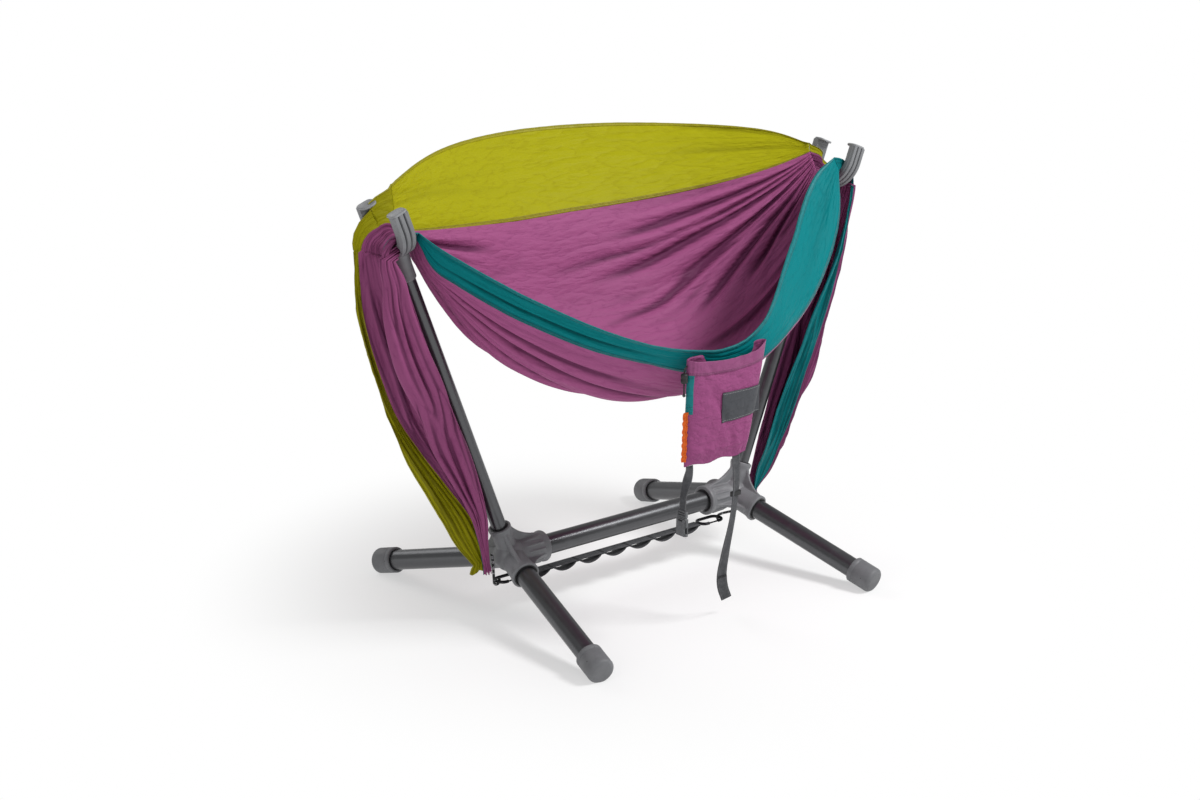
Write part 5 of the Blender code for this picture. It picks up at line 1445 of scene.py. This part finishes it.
# Creases that fan out of the cradles, as (girth at the cradle, girth at the far end, s there, depth, width)
RIGHT_CREASES = (
    (0.215, 0.245, 0.20, 0.0090, 0.012), (0.262, 0.330, 0.10, 0.0140, 0.015),
    (0.305, 0.400, 0.28, 0.0170, 0.014), (0.350, 0.475, 0.42, 0.0140, 0.014),
    (0.235, 0.275, 0.55, 0.0080, 0.009), (0.400, 0.500, 0.62, 0.0100, 0.012),
    (0.285, 0.360, 0.66, 0.0090, 0.008), (0.330, 0.440, 0.05, 0.0080, 0.009),
    (0.250, 0.300, -0.10, 0.0060, 0.010), (0.375, 0.490, 0.70, 0.0080, 0.008),
    (0.620, 0.560, 0.30, 0.0100, 0.016), (0.700, 0.660, 0.45, 0.0095, 0.014),
)
LEFT_CREASES = (
    (0.220, 0.235, -0.45, 0.0070, 0.012), (0.290, 0.330, -0.50, 0.0090, 0.013),
    (0.360, 0.420, -0.55, 0.0090, 0.013), (0.560, 0.470, -0.30, 0.0120, 0.016),
    (0.630, 0.560, -0.22, 0.0130, 0.016), (0.690, 0.640, -0.12, 0.0125, 0.015),
    (0.745, 0.720, -0.05, 0.0110, 0.013), (0.790, 0.785, -0.30, 0.0085, 0.011),
    (0.905, 0.925, -0.25, 0.0050, 0.014),
)


def seat_folds(s, girth):
    """How far the cloth stands out of its plain section, in metres, with outwards positive."""
    s, girth = np.asarray(s)[:, None], np.asarray(girth)[None, :]
    height = 0.0024 + 0.0046 * 4.0 * s**2 * (1.0 - s**2)
    near = ease(np.abs(s), 0.25, 0.95)
    bend = 1.0 - np.abs(s)
    fine = lobes(girth * 17.0 + 0.9 * bend * np.sign(s), s * 1.3 + 9.0, 4)
    broad = lobes(girth * 7.0 + 0.7 * bend, s * 1.5 + 9.0, 11, 0.9)
    panel = np.where((girth > GIRTH_SHARES[1]) & (girth < GIRTH_SHARES[2]), 1.0, 0.45)
    fine, broad = 0.75 * fine * (0.25 + 0.75 * near), 0.55 * broad * (0.35 + 0.65 * (1.0 - near))
    total = -(panel * height * (fine + broad)) * seen_from_inside(girth)
    for creases, side in ((RIGHT_CREASES, 1.0), (LEFT_CREASES, -1.0)):
        for start, finish, far, depth, width in creases:
            run = (side - s) / (side - far)
            middle = start + (finish - start) * np.clip(run, 0.0, 1.3)
            spread = width * (0.55 + 0.75 * np.clip(run, 0.0, 1.0))
            off = (girth - middle) / spread
            banks = 0.45 * np.exp(-((off - 1.7) ** 2)) + 0.45 * np.exp(-((off + 1.7) ** 2))
            valley = np.exp(-np.abs(off) ** 1.5) - banks
            fade = (0.25 + 0.75 * ease(run, 0.0, 0.3)) * (1.0 - ease(run, 0.55, 1.15)) * ease(run, -0.5, 0.0)
            total = total + depth * valley * fade * np.where(middle < INSIDE_GIRTH, 1.0, -1.0)
    return total


def seen_from_inside(girth):
    """1 where the hollow of the cloth faces up and -1 where its outside faces the front."""
    return np.tanh((INSIDE_GIRTH - girth) / 0.03)


CREASE_DEPTH = 0.0026
CREASE_REACH = 5


def crease_shade(folds, facing):
    """How far down in a crease each point lies, from 0 to 1, on the side that faces (1 inwards, -1 outwards),
    which sets the painted shade there.
    """
    columns, span = folds.shape[1], 2 * CREASE_REACH + 1
    wide = np.pad(folds, ((0, 0), (CREASE_REACH, CREASE_REACH)), mode="edge")
    level = sum(wide[:, k : k + columns] for k in range(span)) / span
    return np.clip(facing * (folds - level) / CREASE_DEPTH, 0.0, 1.0)


def drop_folds(side, t, girth):
    """The same folds, carried on over the cradle and down beside the mast."""
    at_cradle = seat_folds([side], girth)
    t, girth = np.asarray(t)[:, None], np.asarray(girth)[None, :]
    drift = girth + 0.012 * np.sin(t * 6.0 + girth * 9.0)
    below = 0.0048 * lobes(drift * 15.0, t * 2.6 + 5.0, 4, 0.9)
    below = below + 0.0042 * lobes(drift * 31.0, t * 3.0 + 1.0, 23, 0.8)
    fade = 1.0 - 0.75 * ease(t, 0.78, 1.0)
    return at_cradle * (1.0 - ease(t, 0.02, 0.18)) + below * ease(t, 0.08, 0.3) * fade


def grid_normals(grid, level_ends):
    """The cloth's own directions outwards, kept level in x along the rows where it is cut."""
    normal = np.cross(np.gradient(grid, axis=0), np.gradient(grid, axis=1))
    for row in level_ends:
        normal[row, :, 0] = 0.0
    return normal / np.maximum(np.linalg.norm(normal, axis=2), 1e-12)[:, :, None]


def seat_grid(stations, shares):
    """The seat's points and the painted shade that its creases get."""
    end_x = seat_end_x() - SWAY_ROOM
    grid = np.array([[(s * end_x, y, z) for y, z in section(seat_guides(s), shares)] for s in stations])
    girth = girth_places(shares)
    folds = seat_folds(stations, girth)
    shade = crease_shade(folds, seen_from_inside(girth)[None, :])
    return grid + grid_normals(grid, (0, 1, 2, -3, -2, -1)) * folds[:, :, None], shade


def drop_path():
    """The keel's route over the saddle and down the mast: (distance out, height)."""
    inner_out, inner_height = saddle_edge(1.0)
    outer_out, outer_height = saddle_edge(-1.0)
    lift = SADDLE_LIFT
    knots = [
        (seat_end_x() + SEAT_GAP, keel_end_height()),
        (inner_out + 0.004, inner_height + lift - 0.0004),
        ((inner_out + outer_out) / 2.0 + 0.001, (inner_height + outer_height) / 2.0 + lift),
        (outer_out + lift * 0.6, outer_height + lift),
        (outer_out + lift * 1.35, outer_height - 0.007),
        (outer_out + lift * 0.85, outer_height - 0.026),
    ]
    fall = CRADLE_HEIGHT - GATHER_HEIGHT
    for share in (0.600, 0.443, 0.286):
        height = GATHER_HEIGHT + fall * share
        knots.append((mast_x(height) + (MAST_TUBE_R + MAST_CLEARANCE) / math.cos(MAST_LEAN), height))
    for share, out in ((0.168, 0.031), (0.090, 0.041)):
        height = GATHER_HEIGHT + fall * share
        knots.append((mast_x(height) + out, height))
    knots.append((mast_x(GATHER_HEIGHT) + GATHER_OUT, GATHER_HEIGHT))
    return np.array(knots)


# Guide points of the drops as (outward, back) in millimetres, at places from the saddle's outer edge to the
# gathered end. The front hem is rolled inside the left drop, and lies folded in front of the right one.
LEFT_DROP = {
    0.022: ((72, 38), (26, 32), (10, 18), (0, 0), (4, -20), (12, -30), (16, -32)),
    0.055: ((55, 37), (26, 32), (9, 18), (1, -10), (22, -34), (22, -26), (12, -18)),
    0.09: ((33, 36), (27, 31), (8, 14), (2, -40), (28, -36), (14, -20), (4, -8)),
    0.14: ((45, 37), (39, 32), (12, 10), (1, -50), (34, -34), (16, -14), (4, -6)),
    0.22: ((62, 38), (57, 33), (18, 8), (3, -49), (55, -31), (36, -10), (22, -2)),
    0.35: ((77, 40), (71, 34), (22, 6), (5, -49), (69, -29), (50, -8), (34, 0)),
    0.50: ((81, 45), (74, 36), (22, 4), (4, -46), (62, -27), (44, -6), (28, 2)),
    0.62: ((86, 36), (58, 34), (20, 2), (4, -40), (56, -23), (40, -4), (24, 2)),
    0.75: ((73, 34), (36, 26), (12, 2), (2, -30), (37, -19), (24, -2), (14, 2)),
    0.86: ((57, 30), (10, 18), (4, 2), (-2, -26), (20, -16), (12, -1), (5, 2)),
    0.94: ((42, 22), (-4, 8), (-2, 0), (-4, -14), (10, -12), (6, -1), (0, 1)),
    1.00: ((22, 12), (-8, 4), (-5, -1), (-4, -8), (6, -7), (6, -2), (2, 0)),
}

RIGHT_DROP = {
    0.022: ((46, 34), (34, 30), (8, 18), (0, 0), (5, -22), (16, -36), (34, -35)),
    0.055: ((28, 36), (20, 30), (6, 18), (0, 0), (10, -30), (16, -37), (20, -35)),
    0.09: ((20, 36), (12, 28), (4, 16), (1, 0), (9, -36), (4, -38), (1, -35)),
    0.14: ((30, 36), (20, 28), (10, 14), (1, 0), (17, -34), (12, -37), (8, -36)),
    0.22: ((44, 34), (34, 28), (18, 12), (2, 1), (34, -22), (25, -32), (16, -36)),
    0.35: ((60, 42), (66, 28), (36, 14), (2, 2), (62, -14), (34, -32), (12, -40)),
    0.50: ((66, 44), (74, 28), (40, 14), (2, 3), (74, -12), (41, -30), (3, -37)),
    0.62: ((62, 42), (72, 26), (40, 14), (2, 3), (79, -12), (41, -30), (0, -35)),
    0.75: ((46, 34), (52, 22), (30, 12), (2, 2), (64, -10), (45, -26), (-4, -31)),
    0.86: ((34, 26), (38, 16), (22, 10), (0, 2), (55, -8), (40, -20), (-5, -24)),
    0.94: ((18, 18), (22, 12), (12, 10), (-4, 2), (34, -6), (34, -10), (-6, -12)),
    1.00: ((8, 7), (4, 10), (-2, 8), (-8, 1), (8, -1), (10, -6), (-2, -9)),
}



def drop_stages(side):
    """Rows of a place on the drop and its seven guide points (outward, back) there."""
    saddle = seat_guides(side)
    first = np.stack([saddle[:, 1] - keel_end_height(), saddle[:, 0]], axis=1)
    return dense_rows({0.0: first, **in_metres(LEFT_DROP if side < 0 else RIGHT_DROP)})


def drop_grid(side, shares_down, shares):
    """A drop's points and its painted shade, from the seat end to the gathered end, and the ruffle past it."""
    path = smooth_path(drop_path(), 400)
    route = np.column_stack([np.linspace(0.0, 1.0, len(path)), path, np.gradient(path, axis=0)])
    stages = drop_stages(side)
    rows, girth = [], girth_places(shares)
    for t in shares_down:
        place, way = read_rows(route, t).reshape(2, 2)
        way /= np.linalg.norm(way)
        level = 1.0 - float(ease(t, 0.0, 0.03))
        way = way * (1.0 - level) + np.array((1.0, 0.0)) * level
        way /= np.linalg.norm(way)
        line = section(read_rows(stages, t).reshape(7, 2), shares)
        out, height = place[0] - way[1] * line[:, 0], place[1] + way[0] * line[:, 0]
        rows.append(np.stack([side * (out + SWAY_ROOM), line[:, 1], height], axis=1))
    grid = np.array(rows)
    folds = drop_folds(side, shares_down, girth)
    grid = grid + grid_normals(grid, (0, 1, 2, 3)) * side * folds[:, :, None]
    loose = ruffle(grid[-1], side, path, girth)
    # Painted shade: the whole drop is darkened a little and more in its creases; the ruffle takes the last
    # row's.
    shade = 0.45 + 0.55 * crease_shade(3.2 * folds, -1.0)
    return np.concatenate([grid, loose]), np.concatenate([shade, np.repeat(shade[-1:], len(loose), axis=0)])


def ruffle(last, side, path, girth):
    """The loose edge that flares out below the gather."""
    heart = np.array((side * path[-1, 0], 0.0, path[-1, 1]))
    down = path[-1] - path[-8]
    down = np.array((side * down[0], 0.0, down[1])) / np.linalg.norm(down)
    arm = last - heart
    arm -= np.outer(arm @ down, down)
    away = np.clip(arm[:, 0] * side / GATHER_R, -1.0, 1.0)
    rows = []
    for k in range(1, RUFFLE_ROWS + 1):
        u = k / float(RUFFLE_ROWS)
        flare = 1.0 + (0.10 + 0.10 * (away + 1.0) / 2.0) * u + 0.16 * u * lobes(girth * 24.0, u + 3.0, 8)
        flare = flare * (1.0 - 0.10 * math.sin(math.pi * min(u * 2.2, 1.0)))
        fall = RUFFLE_LENGTH * u + 0.003 * u * np.sin(girth * 60.0)
        rows.append(heart + arm * flare[:, None] + down * fall[:, None])
    return np.array(rows)


def thicken(obj, skin, offset):
    thick = obj.modifiers.new("cloth_thickness", "SOLIDIFY")
    thick.thickness = skin
    thick.offset = offset
    return obj


def sheet_mesh(name, grid, flat, skin, creases=None):
    """Cloth of this thickness over a grid of points, half of it on either side."""
    rows, columns = grid.shape[:2]
    faces = []
    for i in range(rows - 1):
        low, high = i * columns, (i + 1) * columns
        faces += [(low + j, high + j, high + j + 1, low + j + 1) for j in range(columns - 1)]
    creases = None if creases is None else creases.ravel()
    return thicken(add_mesh(name, grid.reshape(-1, 3), faces, flat.reshape(-1, 2), creases), skin, 0.0)


def flat_places(grid):
    """Where each point lies on the cut cloth, from the lengths along the widest row and the middle column."""
    girths = np.linalg.norm(np.diff(grid, axis=1), axis=2).sum(axis=1)
    along = run_lengths(grid[:, grid.shape[1] // 2])
    across = run_lengths(grid[np.argmax(girths)])
    return np.stack(np.meshgrid(along, across, indexing="ij"), axis=-1)


def strip(name, grid, first, last, skin, material, body, slot, puckers):
    """A doubled strip along a hem or seam, a little thicker than the cloth, with small puckers."""
    part = grid[:, first : last + 1].copy()
    along = np.linspace(0.0, 1.0, len(part))
    swell = 0.0007 * (ripple(along * puckers, 2.0, 31) - 0.5) * ease(along * (1 - along), 0.0, 0.02)
    part += grid_normals(part, ()) * swell[:, None, None]
    return dress(sheet_mesh(name, part, flat_places(part), skin), material, body, slot)


# Columns of the back, centre and front panels. Each has a few close ones beside its hems and seams.
COLUMNS = (
    np.concatenate([[0.0, 0.02, 0.045, 0.08], np.linspace(0.12, 0.960, 30), [0.982, 1.0]]),
    np.concatenate([[0.0, 0.008], np.linspace(0.016, 0.984, 146), [0.992, 1.0]]),
    np.concatenate([[0.0, 0.05], np.linspace(0.09, 0.84, 20), [0.88, 0.92, 0.96, 1.0]]),
)
CUTS = np.cumsum([0] + [len(c) - 1 for c in COLUMNS])
SEAT_PUCKERS = 120.0
DROP_PUCKERS = 90.0
STRIPS = (
    ("back_hem", 0, 2, 0.0026, OLIVE_HEM, "back_cloth"),
    ("back_seam", CUTS[1] - 1, CUTS[1] + 1, 0.0019, SEAM_TAPE, "back_cloth"),
    ("front_seam", CUTS[2] - 1, CUTS[2] + 1, 0.0022, TEAL_SEAM, "front_cloth"),
    ("front_hem", CUTS[3] - 3, CUTS[3], 0.0026, TEAL_HEM, "front_cloth"),
)


def build_cloth(prefix, grid, shade, body, puckers):
    """The three panels of a stretch of cloth and the strips along its hems and seams."""
    for k, label in enumerate(PANEL_LABELS):
        columns = slice(CUTS[k], CUTS[k + 1] + 1)
        part, node = grid[:, columns], prefix + label
        flat = flat_places(part)
        obj = sheet_mesh(node + "_cloth", part, flat, CLOTH_SKIN, shade[:, columns])
        dress(obj, PANEL_CLOTHS[k], body, PANEL_SLOTS[k], node)
    for label, first, last, skin, material, slot in STRIPS:
        strip(prefix + label, grid, int(first), int(last), skin, material, body, slot, puckers)


def build_hammock():
    turns = np.linspace(-1.0, 1.0, 171)
    stations = np.sin(turns * math.pi / 2.0) * 0.35 + turns * 0.65
    grid, shade = seat_grid(stations, COLUMNS)
    cradles = ["cradle_%s_moulding" % side_name for side_name in SIDES]
    build_cloth("seat_", grid, shade, "seat", SEAT_PUCKERS)
    stretches = ((0.0, 0.12, 24), (0.125, 0.40, 50), (0.41, 1.0, 60))
    shares_down = np.concatenate([np.linspace(*stretch) for stretch in stretches])
    for cradle, (side_name, side) in zip(cradles, SIDES.items()):
        grid, shade = drop_grid(side, shares_down, COLUMNS)
        build_cloth(side_name + "_drop_", grid, shade, "mast_" + side_name, DROP_PUCKERS)


# Storage pouch


def pouch_width(rise):
    return POUCH_BOTTOM_WIDTH + (POUCH_TOP_WIDTH - POUCH_BOTTOM_WIDTH) * rise


def pouch_point(x_share, face, rise):
    """A place on the bag. x_share runs 0 to 1 from left to right, face is -1 in front and 1 behind."""
    front = face < 0
    across = 2.0 * x_share - 1.0
    rim = (1.0 - np.abs(across) ** 5.0) ** 0.5
    pinch = 0.42 + 0.58 * ease(rise, 0.0, 0.13)
    fill = 0.0040 * np.sin(math.pi * np.clip(rise, 0.0, 1.0)) * (1.0 - across**2)
    x = POUCH_CENTRE_X + POUCH_BOTTOM_SHIFT * (1.0 - rise) + across * pouch_width(rise) / 2.0
    y = POUCH_MIDDLE_Y + face * (POUCH_DEPTH / 2.0 * rim * pinch + fill * (1.0 if front else 0.4))
    z = POUCH_BOTTOM + rise * POUCH_HEIGHT
    droop = ease(rise, 0.72, 1.0) * (1.0 - across**2)
    corner_lift = ease(rise, 0.8, 1.0) * ease(across, 0.55, 1.0) * 0.008
    z = z - droop * (0.0085 if front else -0.001) + corner_lift
    z = z + 0.0022 * (1.0 - ease(rise, 0.0, 0.16)) * np.sin(across * 7.0 + 0.6)
    crush = 0.0015 * lobes(x_share * 5.0 + rise * 1.6, rise * 4.2, 41)
    crush = crush + 0.0007 * lobes(x_share * 13.0, rise * 11.0 + x_share * 3.0, 43)
    corner = np.exp(-((across + 1.0) ** 2) / 0.10 - (rise - 0.94) ** 2 / 0.02)
    gather = 0.0014 * corner * np.sin(x_share * 170.0)
    slant = (x_share - 0.10) * 0.75 - (0.93 - rise) * 0.55
    crease = -0.0026 * np.exp(-((slant / 0.035) ** 2)) * ease(x_share, 0.02, 0.2)
    crease = crease * (1.0 - ease(x_share, 0.55, 0.9))
    hem = -0.0008 * ease(rise, 0.855, 0.875)
    under_label = np.exp(-((across - 0.42) ** 4) / 0.15 - (rise - 0.51) ** 4 / 0.0012)
    crush = crush * (1.0 - 0.75 * under_label)
    y = y + face * ((crush + gather + crease * front) * rim - hem * rim)
    return x, y, z


def pouch_rings(rises, lift=0.0):
    """Rings round the bag: along the front from left to right, then back along its rear."""
    count = POUCH_SIDE_POINTS
    bunched = 0.5 - 0.5 * np.cos(np.linspace(0.0, math.pi, count))
    shares = 0.35 * np.linspace(0.0, 1.0, count) + 0.65 * bunched
    rings = []
    for rise in rises:
        front = np.stack(pouch_point(shares, -1.0, np.full(count, rise)), axis=1)
        rear = np.stack(pouch_point(shares[::-1][1:-1], 1.0, np.full(count - 2, rise)), axis=1)
        ring = np.vstack([front, rear])
        if lift:
            out = ring - ring.mean(axis=0)
            out[:, 2] = 0.0
            out[:, 0] *= 0.18
            ring = ring + out / np.maximum(np.linalg.norm(out, axis=1), 1e-9)[:, None] * lift
        rings.append(ring)
    return np.array(rings)


def wrap_mesh(name, rings, columns=None, skin=0.0012, bottom=False):
    """A bag or band from rings of points. columns keeps only some of the way round."""
    closed = columns is None
    part = rings if closed else rings[:, columns]
    rows, count = part.shape[:2]
    faces = ring_faces(rows, count, around=closed)
    if bottom:
        for j in range(count // 2):
            face = without_repeats(j, (count - j) % count, count - j - 1, j + 1)
            if len(face) > 2:
                faces.append(face)
    tall = np.linspace(0.0, float(np.ptp(part[:, 0, 2])), rows)
    around, upwards = np.meshgrid(run_lengths(part[-1]), tall)
    flat = np.stack([around, upwards], axis=-1)
    return thicken(add_solid(name, part.reshape(-1, 3), faces, flat.reshape(-1, 2)), skin, -1.0)


def build_pouch():
    """The bag with its mouth hem, the teal strip up its left side, its label and its binding."""
    bag = wrap_mesh("pouch_shell_cloth", pouch_rings(np.linspace(0.0, 1.0, 90)), bottom=True)
    dress(bag, POUCH_CLOTH, "pouch", "centre_cloth", "pouch_shell")
    hem = wrap_mesh("pouch_mouth_hem", pouch_rings(np.linspace(0.868, 1.004, 18), 0.0009), skin=0.0008)
    dress(hem, POUCH_HEM, "pouch", "centre_cloth")
    around = 2 * POUCH_SIDE_POINTS - 2
    left = [*range(around - 8, around), *range(7)]
    gusset = wrap_mesh("pouch_gusset", pouch_rings(np.linspace(0.50, 0.985, 50), 0.0003), left, 0.0002)
    dress(gusset, TEAL_HEM, "pouch", "front_cloth")
    build_label()
    build_binding()


def build_label():
    """The bare patch: a woven rectangle that follows the bag's front, with a sewn border."""
    centre, middle = POUCH_CENTRE_X + LABEL_SHIFT, POUCH_TOP - LABEL_DROP
    rows = []
    for v in np.linspace(-1.0, 1.0, 27):
        row = []
        for u in np.linspace(-1.0, 1.0, 51):
            x, z = centre + u * LABEL_HALF_WIDTH, middle + v * LABEL_HALF_HEIGHT - 0.0012 * v * u
            rise = (z - POUCH_BOTTOM) / POUCH_HEIGHT
            share = (x - POUCH_CENTRE_X - POUCH_BOTTOM_SHIFT * (1.0 - rise)) / pouch_width(rise) + 0.5
            _, y, _ = pouch_point(np.clip(share, 0.02, 0.985), -1.0, rise)
            row.append((x, float(y) - 0.0009 - 0.0006 * (1.0 - max(0.0, -v) ** 3), z))
        rows.append(row)
    across, upwards = np.meshgrid(np.linspace(0.0, 0.100, 51), np.linspace(0.0, 0.052, 27))
    label = sheet_mesh("label_patch_weave", np.array(rows), np.stack([across, upwards], axis=-1), 0.0009)
    return dress(label, LABEL_GREY, "pouch", "label", "label_patch")


def build_binding():
    """Ruffled orange binding down the lower part of the bag's left edge."""
    path, wide = [], []
    for k, rise in enumerate(np.linspace(0.05, 0.52, 80)):
        x, y, z = map(float, pouch_point(0.0, -1.0, rise))
        wave = math.sin(k * 0.55)
        path.append((x - 0.0022 + 0.0005 * math.sin(k * 0.9), y - 0.0012 + 0.0010 * wave, z))
        wide.append((0.60 + 0.2 * wave, -0.8, 0.0))
    binding = ribbon("pouch_binding", path, 0.0085, 0.0010, wide, 7)
    return dress(binding, ORANGE, "pouch", "piping", "pouch_piping")


def build_cord_lock():
    """The cord lock, the short end of the drawcord through it, and the knot under it."""
    x = POUCH_CENTRE_X - POUCH_TOP_WIDTH / 2.0 - LOCK_R - LOCK_GAP
    y, z = POUCH_MIDDLE_Y, POUCH_TOP - LOCK_DROP
    place = Matrix.Translation((x, y, z))
    lock = turned_piece("cord_lock_barrel", LOCK_SECTION, 40, place, closed=True, angle=50.0)
    dress(lock, BLACK_RING, "lock", "bush", "cord_lock")
    knots = [(x + 0.0060, y, z + 0.021), (x + 0.0025, y, z + 0.018), (x, y, z + 0.012), (x, y, z - 0.033)]
    path = smooth_path(knots, 30)
    cord = rod("drawcord_braid", path, DRAWCORD_R, 12)
    dress(cord, BLACK_CORD, "pouch", "rope", "drawcord")
    turn = []
    for a in np.linspace(0.0, 2.0 * math.pi, 33)[:-1]:
        height = z - KNOT_DROP + 0.0009 * math.sin(2.0 * a + 0.5)
        turn.append((x + KNOT_R * math.cos(a), y + KNOT_R * math.sin(a), height))
    knot = dress(rod("drawcord_knot", turn, 0.0012, 10, closed=True), BLACK_CORD, "pouch", "rope")


# Straps under the pouch


def strap_path(route, x, count):
    """A strap's route, sewn to the pouch's lower edge at x."""
    return smooth_path([(x + dx, POUCH_MIDDLE_Y + dy, TAPE_TOP - drop) for dx, dy, drop in route], count)


def build_short_strap():
    """A tape that turns edge on as it falls, with the ladder adjuster and the buckle half at its end."""
    count = SHORT_STRAP_POINTS
    left_edge = POUCH_CENTRE_X + POUCH_BOTTOM_SHIFT - POUCH_BOTTOM_WIDTH / 2.0
    path = strap_path(SHORT_STRAP_ROUTE, left_edge + SHORT_STRAP_INSET, count)
    turn = np.radians(90.0) * ease(np.linspace(0.0, 1.0, count), 0.0, 0.7)
    wide = np.stack([np.cos(turn), -np.sin(turn), np.zeros(count)], axis=1)
    strap = ribbon("short_strap_tape", path, SHORT_STRAP_WIDTH, TAPE_THICKNESS, wide)
    dress(strap, STRAP_GREY, "buckle_strap", "webbing", "short_strap")
    low = Vector(path[-1])
    ladder = low - Vector((0.0, 0.0, SEAT_GAP + LADDER_DROP))

    def at_ladder(x, y, z):
        return Matrix.Translation(ladder + Vector((x, y, z)))

    for label, height, z in LADDER_BARS:
        size = (LADDER_BAR_DEPTH, LADDER_WIDTH, height)
        bar = block("ladder_adjuster_" + label, size, at_ladder(0.0, 0.0, z), 0.0009)
        dress(bar, BUCKLE_GREY, "buckle_strap", "buckle", *(["ladder_adjuster"] if label == "middle" else []))
    for k, y in ((1, -LADDER_CHEEK_Y), (3, LADDER_CHEEK_Y)):
        cheek = block("ladder_adjuster_cheek_%d" % k, LADDER_CHEEK, at_ladder(0.0, y, 0.0), 0.0010)
        dress(cheek, BUCKLE_GREY, "buckle_strap", "buckle")
    for k, z in ((1, LADDER_FOLD_Z), (2, -LADDER_FOLD_Z)):
        fold = block("ladder_webbing_%d" % k, LADDER_FOLD, at_ladder(0.0006, 0.0, z), 0.0004)
        dress(fold, PLAIN_WEBBING, "buckle_strap", "webbing")
    build_buckle(low - Vector((0.0, 0.0, BUCKLE_DROP + 2.0 * SEAT_GAP)))


def build_buckle(top):
    """The receiving half of a side-release buckle: a rounded shell with side windows and an open mouth."""
    middle = Matrix.Translation(top - Vector((0.0, 0.0, BUCKLE_SIZE[2] / 2)))
    shell = block("buckle_socket_shell", BUCKLE_SIZE, middle, 0.0026, 5)
    for size, drop, round_off in BUCKLE_HOLLOWS:
        cut(shell, block("hollow", size, Matrix.Translation(top - Vector((0.0, 0.0, drop))), round_off))
    shell.data.shade_smooth()
    dress(crisp(shell, 35.0), BUCKLE_GREY, "buckle_strap", "buckle", "buckle_socket")


def build_long_strap():
    """A long tape with its end folded over and tacked, and the keeper band round it."""
    x, count = POUCH_CENTRE_X + LONG_STRAP_SHIFT, LONG_STRAP_POINTS
    path = strap_path(LONG_STRAP_ROUTE, x, count)
    sway = np.sin(np.linspace(0.0, 1.0, count) * 5.0)
    wide = np.stack([np.cos(0.25 * sway), 0.30 * sway, np.zeros(count)], axis=1)
    strap = ribbon("long_strap_tape", path, LONG_STRAP_WIDTH, TAPE_THICKNESS, wide)
    dress(strap, STRAP_GREY, "tail_strap", "webbing", "long_strap")
    forwards = np.array((0.0, -1.0, 0.0))
    folded = path[LONG_STRAP_FOLD] + forwards * 0.0013
    tab = ribbon("long_strap_fold", folded, 0.0194, 0.0009, wide[LONG_STRAP_FOLD])
    dress(tab, STRAP_GREY, "tail_strap", "webbing")
    tacked = path[LONG_STRAP_TACK] + forwards * 0.0021
    bar = ribbon("long_strap_bar_tack", tacked, 0.0170, 0.0006, wide[LONG_STRAP_TACK])
    dress(bar, BAR_TACK, "tail_strap", "webbing")
    right, back, down = KEEPER_PLACE
    place = Matrix.Translation((x + right, POUCH_MIDDLE_Y + back, TAPE_TOP - down))
    outer, inner = rounded_loop(*KEEPER_OUTER), rounded_loop(*KEEPER_INNER)
    low, high = -KEEPER_HALF, KEEPER_HALF
    points = []
    for height, ring in ((low, inner), (low, outer), (high, outer), (high, inner)):
        points += [place @ Vector((px, py, height)) for px, py in ring]
    keeper = add_solid("strap_keeper_loop", points, ring_faces(4, len(inner), closed=True))
    dress(crisp(keeper, 40.0), BLACK_RING, "tail_strap", "bush", "strap_keeper")


def rounded_loop(half_wide, half_deep, corner):
    """A rounded rectangle's outline."""
    outline = []
    for quarter, (sx, sy) in enumerate(((1, 1), (-1, 1), (-1, -1), (1, -1))):
        for k in range(5):
            angle = math.pi / 2.0 * (quarter + k / 4.0)
            x = sx * (half_wide - corner) + corner * math.cos(angle)
            outline.append((x, sy * (half_deep - corner) + corner * math.sin(angle)))
    return outline


def main():
    place_camera()
    light_studio()
    build_floor()
    build_tubes()
    build_hubs()
    for side_name, side in SIDES.items():
        build_cradle(side_name, side)
    build_ropes()
    build_carabiners()
    build_strap()
    build_hammock()
    build_pouch()
    build_cord_lock()
    build_short_strap()
    build_long_strap()


main()
